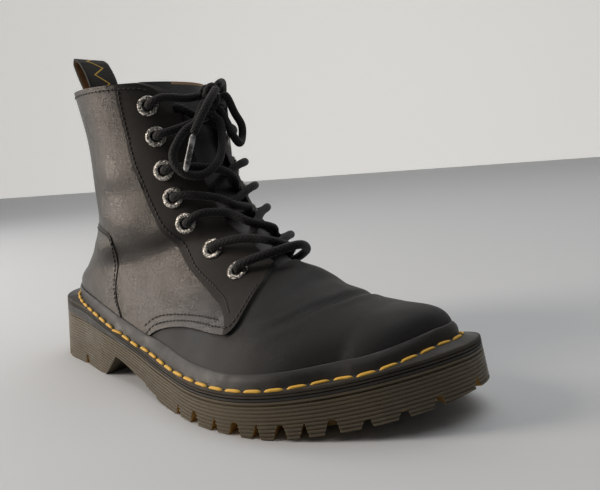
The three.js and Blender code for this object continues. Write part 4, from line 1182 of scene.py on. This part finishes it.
def tongue():
    rise = COLLAR_HEIGHT + TONGUE_RISE
    region = prism("tongue_side", [(0.3 * LENGTH, rise), *sideways(TONGUE_EDGE), (0.5 * LENGTH, rise)],
                   CENTRE - TONGUE_WIDTH / 2, CENTRE + TONGUE_WIDTH / 2)
    piece = cut(meet(last_solid("tongue_leather", -WALL - GAP), region),
                last_solid("tongue_back", -WALL - GAP - TONGUE_THICKNESS))
    piece.data.materials.clear()
    piece.data.materials.append(leather("tongue_face", (0.02, 0.02, 0.021), (0.034, 0.034, 0.036), 0.5, 1100))
    piece.data.materials.append(lining_leather)
    for face in piece.data.polygons:
        centre = np.array(face.center) * 1000 + MIDDLE
        top = centre[2] > rise - RAW_EDGE and centre[1] > CENTRE - 9
        back = face.normal.x < -0.3 and face.normal.z < 0.6 and centre[0] < 0.6 * LENGTH
        face.material_index = 1 if top or back else 0
    crisp(piece, 35)
    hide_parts("tongue")
    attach(piece, "root")


tongue()


# Insole: a leather-covered footbed that lies on the midsole, seen only down through the collar. Its
# solid from the frame is kept as it is, in a finish of its own.
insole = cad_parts["insole"]
insole.data.materials.clear()
insole.data.materials.append(leather("footbed", (0.22, 0.14, 0.075), (0.3, 0.2, 0.12), 0.7, 900))


# Pull loop: black webbing with a tan back, folded over and sewn inside and outside the back of the
# collar. It leans back. A plain zigzag in yellow thread runs up it.
LOOP_WIDTH = 21
LOOP_RISE = 27
LOOP_LEAN = 14
LOOP_BULGE = 0.7
LOOP_FOOT = 9.5
LOOP_ROWS = 13
STRAP = 1.5
WEBBING = (0.015, 0.014, 0.012)
ZIGZAG = (0.62, 0.4, 0.06)


def maths(tree, kind, a, b=None):
    # A math node whose inputs are numbers or sockets.
    node = tree.nodes.new("ShaderNodeMath")
    node.operation = kind
    for i, value in enumerate((a, b)):
        if isinstance(value, (int, float)):
            node.inputs[i].default_value = value
        elif value is not None:
            tree.links.new(value, node.inputs[i])
    return node.outputs[0]


def strap_place(tree, layer):
    place = tree.nodes.new("ShaderNodeUVMap")
    place.uv_map = layer
    split = tree.nodes.new("ShaderNodeSeparateXYZ")
    tree.links.new(place.outputs["UV"], split.inputs["Vector"])
    return split.outputs["X"], split.outputs["Y"]


def loop_webbing():
    # The weave is a bump of crossed ribs, and the zigzag is worked out from the strap's own UVs.
    material, tree, shader = finish("webbing", WEBBING, 0.85)
    shader.inputs["Sheen Weight"].default_value = 0.05
    up, over = strap_place(tree, "strap")
    along = maths(tree, "MULTIPLY", up, 5200)
    across = maths(tree, "MULTIPLY", over, 60)
    weave = maths(tree, "MULTIPLY", maths(tree, "SINE", maths(tree, "ADD", along, across)),
                  maths(tree, "SINE", across))
    bumped(tree, shader, weave, 0.35, 0.0005)
    zig = maths(tree, "PINGPONG", maths(tree, "MULTIPLY", up, 160), 1.0)
    line = maths(tree, "ADD", maths(tree, "MULTIPLY", zig, 0.4), 0.3)
    gap = maths(tree, "ABSOLUTE", maths(tree, "SUBTRACT", over, line))
    tones = ramp(tree, maths(tree, "LESS_THAN", gap, 0.035), [(0.0, WEBBING), (1.0, ZIGZAG)])
    tree.links.new(tones.outputs["Color"], shader.inputs["Base Color"])
    return material


def pull_loop():
    middle = CENTRE / 2
    x = bare(0.35, np.pi)[0] - (OVERLAY + STAY - WALL) / 2
    wide = (OVERLAY + STAY + WALL) / 2 + GAP + STRAP
    foot, top = COLLAR_HEIGHT - LOOP_FOOT, COLLAR_HEIGHT + LOOP_RISE
    base = COLLAR_HEIGHT + GAP
    half = wide - STRAP / 2

    def lean(z):
        return LOOP_LEAN * (max(z - base, 0) / LOOP_RISE) ** 1.3

    inner_side = [(x + half, z) for z in np.linspace(foot, base, 6)]
    for share in np.linspace(0.1, 0.93, 12):
        z = base + (top - base) * share
        swell = half * (1 + LOOP_BULGE * math.sin(math.pi * share)) * min(1, (1.02 - share) * 6)
        inner_side.append((x - lean(z) + swell, z))
    outer_side = [(2 * (x - lean(z)) - px, z) for px, z in inner_side]
    tip = [(x - lean(top), top - STRAP / 2)]
    line = smooth_line(np.array(inner_side + tip + outer_side[::-1]), 120)
    ahead = np.gradient(line, axis=0)
    ahead /= np.linalg.norm(ahead, axis=1, keepdims=True)
    side = np.column_stack([-ahead[:, 1], ahead[:, 0]])
    across = [middle + LOOP_WIDTH * (i / (LOOP_ROWS - 1) - 0.5) for i in range(LOOP_ROWS)]
    rings = []
    for offset in (-STRAP / 2, STRAP / 2):
        for (px, pz), (nx, nz) in zip(line, side):
            rings.append([(px + nx * offset, y, pz + nz * offset) for y in across])
    count = len(line)
    # The layer that looks into the loop is the strap's tan back.
    into_loop = line.mean(axis=0) - line[count // 2]
    back_layer = int(np.dot(into_loop, side[count // 2]) > 0)
    faces, backs = [], []
    for layer in (0, 1):
        for i in range(count - 1):
            for j in range(LOOP_ROWS - 1):
                a = (layer * count + i) * LOOP_ROWS + j
                quad = (a, a + 1, a + LOOP_ROWS + 1, a + LOOP_ROWS)
                faces.append(quad if layer else quad[::-1])
                backs.append(layer == back_layer)
    for i in range(count - 1):
        for j in (0, LOOP_ROWS - 1):
            a, b = i * LOOP_ROWS + j, (count + i) * LOOP_ROWS + j
            edge = (a, a + LOOP_ROWS, b + LOOP_ROWS, b)
            faces.append(edge if j == 0 else (a, b, b + LOOP_ROWS, a + LOOP_ROWS))
    for i in (0, count - 1):
        for j in range(LOOP_ROWS - 1):
            a, b = i * LOOP_ROWS + j, (count + i) * LOOP_ROWS + j
            faces.append((a, b, b + 1, a + 1) if i == 0 else (a, a + 1, b + 1, b))
    piece = outward(mesh_piece("pull_loop_webbing", metres(np.concatenate(rings)), faces))
    run = run_along(line)
    uv = piece.data.uv_layers.new(name="strap")
    for loop in piece.data.loops:
        k = loop.vertex_index % (count * LOOP_ROWS)
        uv.data[loop.index].uv = (run[k // LOOP_ROWS] / 1000, (k % LOOP_ROWS) / (LOOP_ROWS - 1))
    tan_back, _, _ = finish("webbing_back", (0.2, 0.12, 0.06), 0.9)
    piece.data.materials.append(loop_webbing())
    piece.data.materials.append(tan_back)
    for face, back in zip(piece.data.polygons, backs):
        face.material_index = int(back)
    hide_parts("pull_loop")
    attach(piece, "root")


pull_loop()


# Eyelets: pressed rings of antiqued white metal, their rims dimpled, set through the facings in
# seven pairs. A barrel behind each rim holds it in its hole.
EYELET_SIDES = 40


def eyelet_shape():
    profile = [(EYELET_BORE, -WALL - OVERLAY), (EYELET_BARREL, -WALL - OVERLAY), (EYELET_BARREL, -0.05),
               (EYELET_RADIUS - 0.1, -0.05), (EYELET_RADIUS, 0.25), (EYELET_RADIUS - 0.35, 0.85),
               (EYELET_RADIUS - 1.0, 1.12), (EYELET_RADIUS - 1.8, EYELET_RISE), (EYELET_BORE + 0.6, 1.0),
               (EYELET_BORE + 0.12, 0.5), (EYELET_BORE, -0.2)]
    angles = [2 * math.pi * j / EYELET_SIDES for j in range(EYELET_SIDES)]
    rings = [[(r * math.cos(a), r * math.sin(a), z) for a in angles] for r, z in profile]
    points = np.concatenate([np.array(r) for r in rings]) / 1000
    return outward(mesh_piece("ring", points, tube_faces(len(profile), EYELET_SIDES, endless=True)))


def eyelets():
    spots, facing, heading = [], [], []
    for place, span in EYELETS:
        for side in (-1, 1):
            point, normal = on_front(place, side * span, OVERLAY + STAY + GAP)
            spots.append(point)
            facing.append(normal)
            heading.append((0, 0, 1) if abs(normal[2]) < 0.9 else (1, 0, 0))
    material, tree, shader = finish("antique_metal", (0.5, 0.48, 0.45), 0.34, 1.0)
    tarnish = object_noise(tree, 1100, 3)
    tones = ramp(tree, tarnish.outputs["Fac"], [(0.42, (0.07, 0.066, 0.06)), (0.56, (0.55, 0.53, 0.49))])
    tree.links.new(tones.outputs["Color"], shader.inputs["Base Color"])
    place = tree.nodes.new("ShaderNodeTexCoord")
    dimples = tree.nodes.new("ShaderNodeTexVoronoi")
    dimples.inputs["Scale"].default_value = 1700
    tree.links.new(place.outputs["Object"], dimples.inputs["Vector"])
    bumped(tree, shader, dimples.outputs["Distance"], 0.5, 0.0006)
    shape = eyelet_shape()
    piece = repeated("eyelet_rings", spots, facing, heading, shape, material)
    drop(shape)
    crisp(piece, 50)
    pairs = range(1, len(EYELETS) + 1)
    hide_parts(*[f"eyelet_{side}_{i}" for side in ("outer", "inner") for i in pairs])
    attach(piece, "root")


eyelets()


# Lace: a round braided cord of black cotton, a little under five millimetres thick. It rises through
# the eyelets, crosses the tongue between the facings, and is tied in a bow over the top pair.
LACE_RADIUS = 2.35
OVER = OVERLAY + STAY + GAP + EYELET_RISE + GAP + LACE_RADIUS
KNOT = np.array([125, 16.5, 158.5])
KNOT_SIZE = np.array([5.5, 6.5, 7.5])
BRAID_STRANDS = 6
BRAID_PITCH = 0.0024


def lace_finish():
    material, tree, shader = finish("braided_lace", (0.006, 0.006, 0.006), 0.7)
    shader.inputs["Specular IOR Level"].default_value = 0.25
    shader.inputs["Sheen Weight"].default_value = 0.12
    shader.inputs["Sheen Roughness"].default_value = 0.4
    around, along = strap_place(tree, "lace")
    turn = maths(tree, "MULTIPLY", around, 2 * math.pi * BRAID_STRANDS)
    run = maths(tree, "MULTIPLY", along, 2 * math.pi / BRAID_PITCH)
    one = maths(tree, "SINE", maths(tree, "ADD", turn, run))
    two = maths(tree, "SINE", maths(tree, "SUBTRACT", turn, run))
    braid = maths(tree, "MAXIMUM", one, two)
    # The braid is darker in the grooves between its strands: painted shade in the recesses.
    tones = ramp(tree, maths(tree, "MULTIPLY", maths(tree, "ADD", braid, 1), 0.5),
                 [(0.35, (0.003, 0.003, 0.003)), (1.0, (0.009, 0.009, 0.0095))])
    tree.links.new(tones.outputs["Color"], shader.inputs["Base Color"])
    bumped(tree, shader, braid, 0.4, 0.0004)
    return material


black_lace = lace_finish()


def spaced(points, step):
    # A smooth line through given points, in even steps, with its length.
    line = smooth_line(points, 400)
    run = run_along(line)
    at = np.linspace(0, run[-1], max(int(run[-1] / step), 6))
    return np.column_stack([np.interp(at, run, line[:, i]) for i in range(3)]), run[-1]


def tube(name, points, radius=LACE_RADIUS, sides=14, taper=None):
    # A round lace along the points, with rounded ends and its own UVs: around, and along in metres.
    line, length = spaced(points, 1.0)
    ahead = np.gradient(line, axis=0)
    ahead /= np.linalg.norm(ahead, axis=1, keepdims=True)
    side = np.cross(ahead[0], (0.3, 0.2, 1))
    side /= np.linalg.norm(side)
    rings = []
    count = len(line)
    angles = [2 * math.pi * j / sides for j in range(sides)]
    for i, (p, t) in enumerate(zip(line, ahead)):
        side = side - t * np.dot(side, t)
        side /= np.linalg.norm(side)
        other = np.cross(t, side)
        share = i / (count - 1)
        r = radius * (taper(share) if taper else 1)
        end = min(i, count - 1 - i)
        r *= {0: 0.55, 1: 0.88}.get(end, 1)
        rings.append([p + r * (side * math.cos(a) + other * math.sin(a)) for a in angles])
    flat = metres(np.concatenate([np.array(r) for r in rings]))
    faces = tube_faces(count, sides)
    faces += [tuple(range(sides)), tuple((count - 1) * sides + i for i in reversed(range(sides)))]
    piece = mesh_piece(name, flat, faces)
    uv = piece.data.uv_layers.new(name="lace")
    for face in piece.data.polygons:
        wraps = len({v % sides for v in face.vertices} & {0, sides - 1}) == 2
        for loop in face.loop_indices:
            v = piece.data.loops[loop].vertex_index
            j = v % sides
            u = 1.0 if wraps and j == 0 else j / sides
            uv.data[loop].uv = (u, (v // sides) / (count - 1) * length / 1000)
    work = bmesh.new()
    work.from_mesh(piece.data)
    if work.calc_volume(signed=True) < 0:
        bmesh.ops.reverse_faces(work, faces=work.faces)
    work.to_mesh(piece.data)
    work.free()
    return piece, line, length


def gathered(name, pieces):
    # One mesh from several, keeping their UVs and materials.
    work = bmesh.new()
    for piece in pieces:
        work.from_mesh(piece.data)
    mesh = bpy.data.meshes.new(name)
    work.to_mesh(mesh)
    work.free()
    for piece in pieces:
        drop(piece)
    mesh.shade_smooth()
    result = bpy.data.objects.new(name, mesh)
    bpy.context.scene.collection.objects.link(result)
    return result


# The outer runs of three rows over the throat, listed one by one: they slope down before they dive under
# the inner ones.
OUTER_RUNS = {
    4: [(132.9, -11.4, 104.3), (138.9, -5.5, 103.1), (144.3, 1, 101), (149.1, 6.1, 97.3)],
    5: [(140.2, -11, 93.8), (146, -4.6, 94.2), (151.6, 1.3, 92.9), (160.2, 6.1, 88.1)],
    6: [(161, -6.8, 79.9), (170.3, -1, 80.1), (178.7, 5.4, 78.0)],
}


def run_of_lace(start, end, side, high):
    # From inside one eyelet out, over the throat and down beside the facing opposite.
    from_place, span = EYELETS[start - 1]
    to_place = EYELETS[end - 1][0]

    def at(mix, across, lift):
        return on_front(from_place + (to_place - from_place) * mix, side * across, lift)[0]

    rise = [at(0, span, -3), at(0, span - 0.1, 1.5), at(0.01, span - 1.8, OVER - 0.5)]
    fall = [at(0.9, -9.3, 0.2), at(1.0, -13.5, -2.2)]
    if side < 0 and start in OUTER_RUNS:
        return [*rise, *OUTER_RUNS[start], at(0.84, -6, 2.4), *fall]
    if side < 0:
        return [*rise, at(0.03, span - 6, OVER + 0.9), at(0.14, 0.52 * span, high + 0.6),
                at(0.32, 7, high + 0.8), at(0.5, 0, high), at(0.72, -5.5, 0.6 * high), *fall]
    return [*rise, at(0.03, span - 6, OVER + 1.8), at(0.1, 0.55 * span, OVER + 2.2),
            at(0.26, 0.27 * span, 4.6), at(0.5, 0, high), at(0.72, -5.5, 1.2), *fall]


def bottom_bar():
    # Straight across under the lowest pair, the same on both sides.
    place, span = EYELETS[-1]
    half = [(0, span, -3), (0, span - 0.1, 1.5), (0.03, span - 2, OVER - 0.5),
            (0.2, 0.72 * span, OVER + 1.4), (0.42, 0.35 * span, OVER + 2.4)]
    whole = [(down, -across, lift) for down, across, lift in half] + [(0.5, 0, OVER + 2.8)] + half[::-1]
    return [on_front(place + down, across, lift)[0] for down, across, lift in whole]


def top_bar(side):
    # From a top eyelet to the knot.
    place, span = EYELETS[0]
    start = [(0, span, -3), (0, span - 0.1, 1.5), (-0.02, span - 2, OVER - 0.5),
             (-0.06, span - 8, OVER + 1.4)]
    return [*[on_front(place + down, side * across, lift)[0] for down, across, lift in start],
            KNOT + (-4.5, side * 13, -0.5), KNOT + (-2, side * 6, 0.6)]


def laced_runs():
    pieces = []
    for start, end in ((2, 1), (3, 4), (4, 5), (5, 6), (6, 7)):
        pieces.append(tube("lace", run_of_lace(start, end, -1, 6.8))[0])
        pieces.append(tube("lace", run_of_lace(start, end, 1, 2.2))[0])
    pieces.append(tube("lace", bottom_bar())[0])
    for side in (-1, 1):
        pieces.append(tube("lace", top_bar(side))[0])
    piece = gathered("lace_runs", pieces)
    piece.data.materials.append(black_lace)
    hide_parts(*[f"lace_crossing_{i}" for i in (2, 3, 4, 5, 6)],
                "lace_bar_bottom", "lace_bar_outer", "lace_bar_inner")
    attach(piece, "root")


laced_runs()


# Knot: the lace wound twice round itself and drawn tight, with a short run of it through the middle.
# It sits on the tongue between the top eyelets.
WRAPS = [(4.6, 5.8, 0.35, 1.6), (4.4, 5.2, -0.5, -1.2)]
WRAP_STEPS = 14


def knot():
    wraps = []
    for turn, (size_y, size_z, tilt, shift) in enumerate(WRAPS):
        points = []
        for i in range(WRAP_STEPS + 1):
            a = 2 * math.pi * i / WRAP_STEPS + 0.6 * turn
            y, z = size_y * math.cos(a) * 0.9, size_z * math.sin(a)
            points.append(KNOT + (shift + 1.2 * math.sin(a + turn),
                                  y * math.cos(tilt) - z * math.sin(tilt) * 0.4,
                                  z * math.cos(tilt) + y * math.sin(tilt)))
        wraps.append(tube("wrap", points)[0])
    core = [KNOT + p for p in ((-1.5, -4.6, 3.2), (0.8, -1.5, 0.8), (1.6, 1.5, -0.6), (-0.8, 4.6, -2.8))]
    wraps.append(tube("wrap", core, 2.3)[0])
    piece = gathered("bow_knot", wraps)
    piece.data.materials.append(black_lace)
    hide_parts("lace_knot")
    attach(piece, "root")


knot()


# Bow: two loops and two ends of the same lace, each end in a pressed plastic tip. One end lies over
# the front loop, and the other falls over the inner facing.
FRONT_LOOP = [(131, 17.5, 144), (136, 13.5, 133), (140, 7.5, 123.5), (140.8, 0.5, 117.8),
              (139, -6.6, 114.6), (134, -12.8, 115.8), (129.6, -15.6, 120.6), (127.4, -15.2, 126.6),
              (127.6, -12.2, 132.2), (128.5, -6.5, 139.1), (129.8, 1, 143.8)]
BACK_LOOP = [(131.5, 29, 149), (133.5, 32, 141.5), (134.5, 30.5, 134), (136.6, 26, 131.2),
             (136.4, 22, 135.5), (133, 21.8, 142)]
OUTER_END = [(137.4, 5, 154.5), (138.3, -3.5, 144), (138.6, -8.7, 136.6)]
OUTER_AGLET = [(138.6, -9, 136.2), (138.9, -13, 126.5), (139, -16.6, 117.5)]
INNER_END = [(117, 34.2, 168.5), (110.5, 40.3, 166.5), (104.5, 45, 161), (101.5, 47.8, 152.5),
             (100.8, 48.8, 143)]
INNER_AGLET = [(100.8, 48.9, 142.6), (100.9, 49.3, 132.5), (101.2, 49.6, 123.5)]
AGLET_RADIUS = 1.75
KNOT_CLEAR = 0.5


def leave(x, y, z):
    # The first two points of a lace that leaves the knot this way.
    way = np.array([x, y, z], float)
    way /= np.linalg.norm(way)
    reach = 1 / np.linalg.norm(way / KNOT_SIZE) + KNOT_CLEAR
    return [KNOT + way * reach, KNOT + way * (reach + 3)]


def bow():
    tip, tree, shader = finish("aglet_plastic", (0.05, 0.05, 0.05), 0.22)
    shader.inputs["Coat Weight"].default_value = 0.6
    # The light grey patches on the dark plastic tips are painted highlights.
    painted_glint_noise = object_noise(tree, 260, 2)
    tones = ramp(tree, painted_glint_noise.outputs["Fac"], [(0.4, (0.05, 0.05, 0.05)), (0.66, (0.42, 0.42, 0.42))])
    tree.links.new(tones.outputs["Color"], shader.inputs["Base Color"])
    parts = [
        ("bow_loop_front", "lace_loop_front", [*leave(0.25, -0.1, -1), *FRONT_LOOP,
                                               *leave(0.35, -0.9, -0.5)[::-1]], "object", None),
        ("bow_loop_back", "lace_loop_back", [*leave(0.75, 0.75, 0), *BACK_LOOP,
                                             *leave(0.1, 0.65, -0.8)[::-1]], "object", None),
        ("bow_end_outer", "lace_end_outer", [*leave(1, -0.3, 0.35), *OUTER_END], "fitting",
         ("aglet_outer", OUTER_AGLET)),
        ("bow_end_inner", "lace_end_inner", [*leave(0, 0.75, 0.75), *INNER_END], "fitting",
         ("aglet_inner", INNER_AGLET)),
    ]
    for name, node, points, far_end, aglet in parts:
        piece, line, length = tube(name, points)
        piece.data.materials.append(black_lace)
        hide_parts(node)
        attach(piece, "root")
        if aglet:
            node, aglet_points = aglet
            end, _, _ = tube("clear_" + node, aglet_points, AGLET_RADIUS, 16,
                             lambda s: 1.0 if s < 0.75 else 1 - 0.35 * (s - 0.75))
            end.data.materials.append(tip)
            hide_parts(node)
            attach(end, "root")


bow()
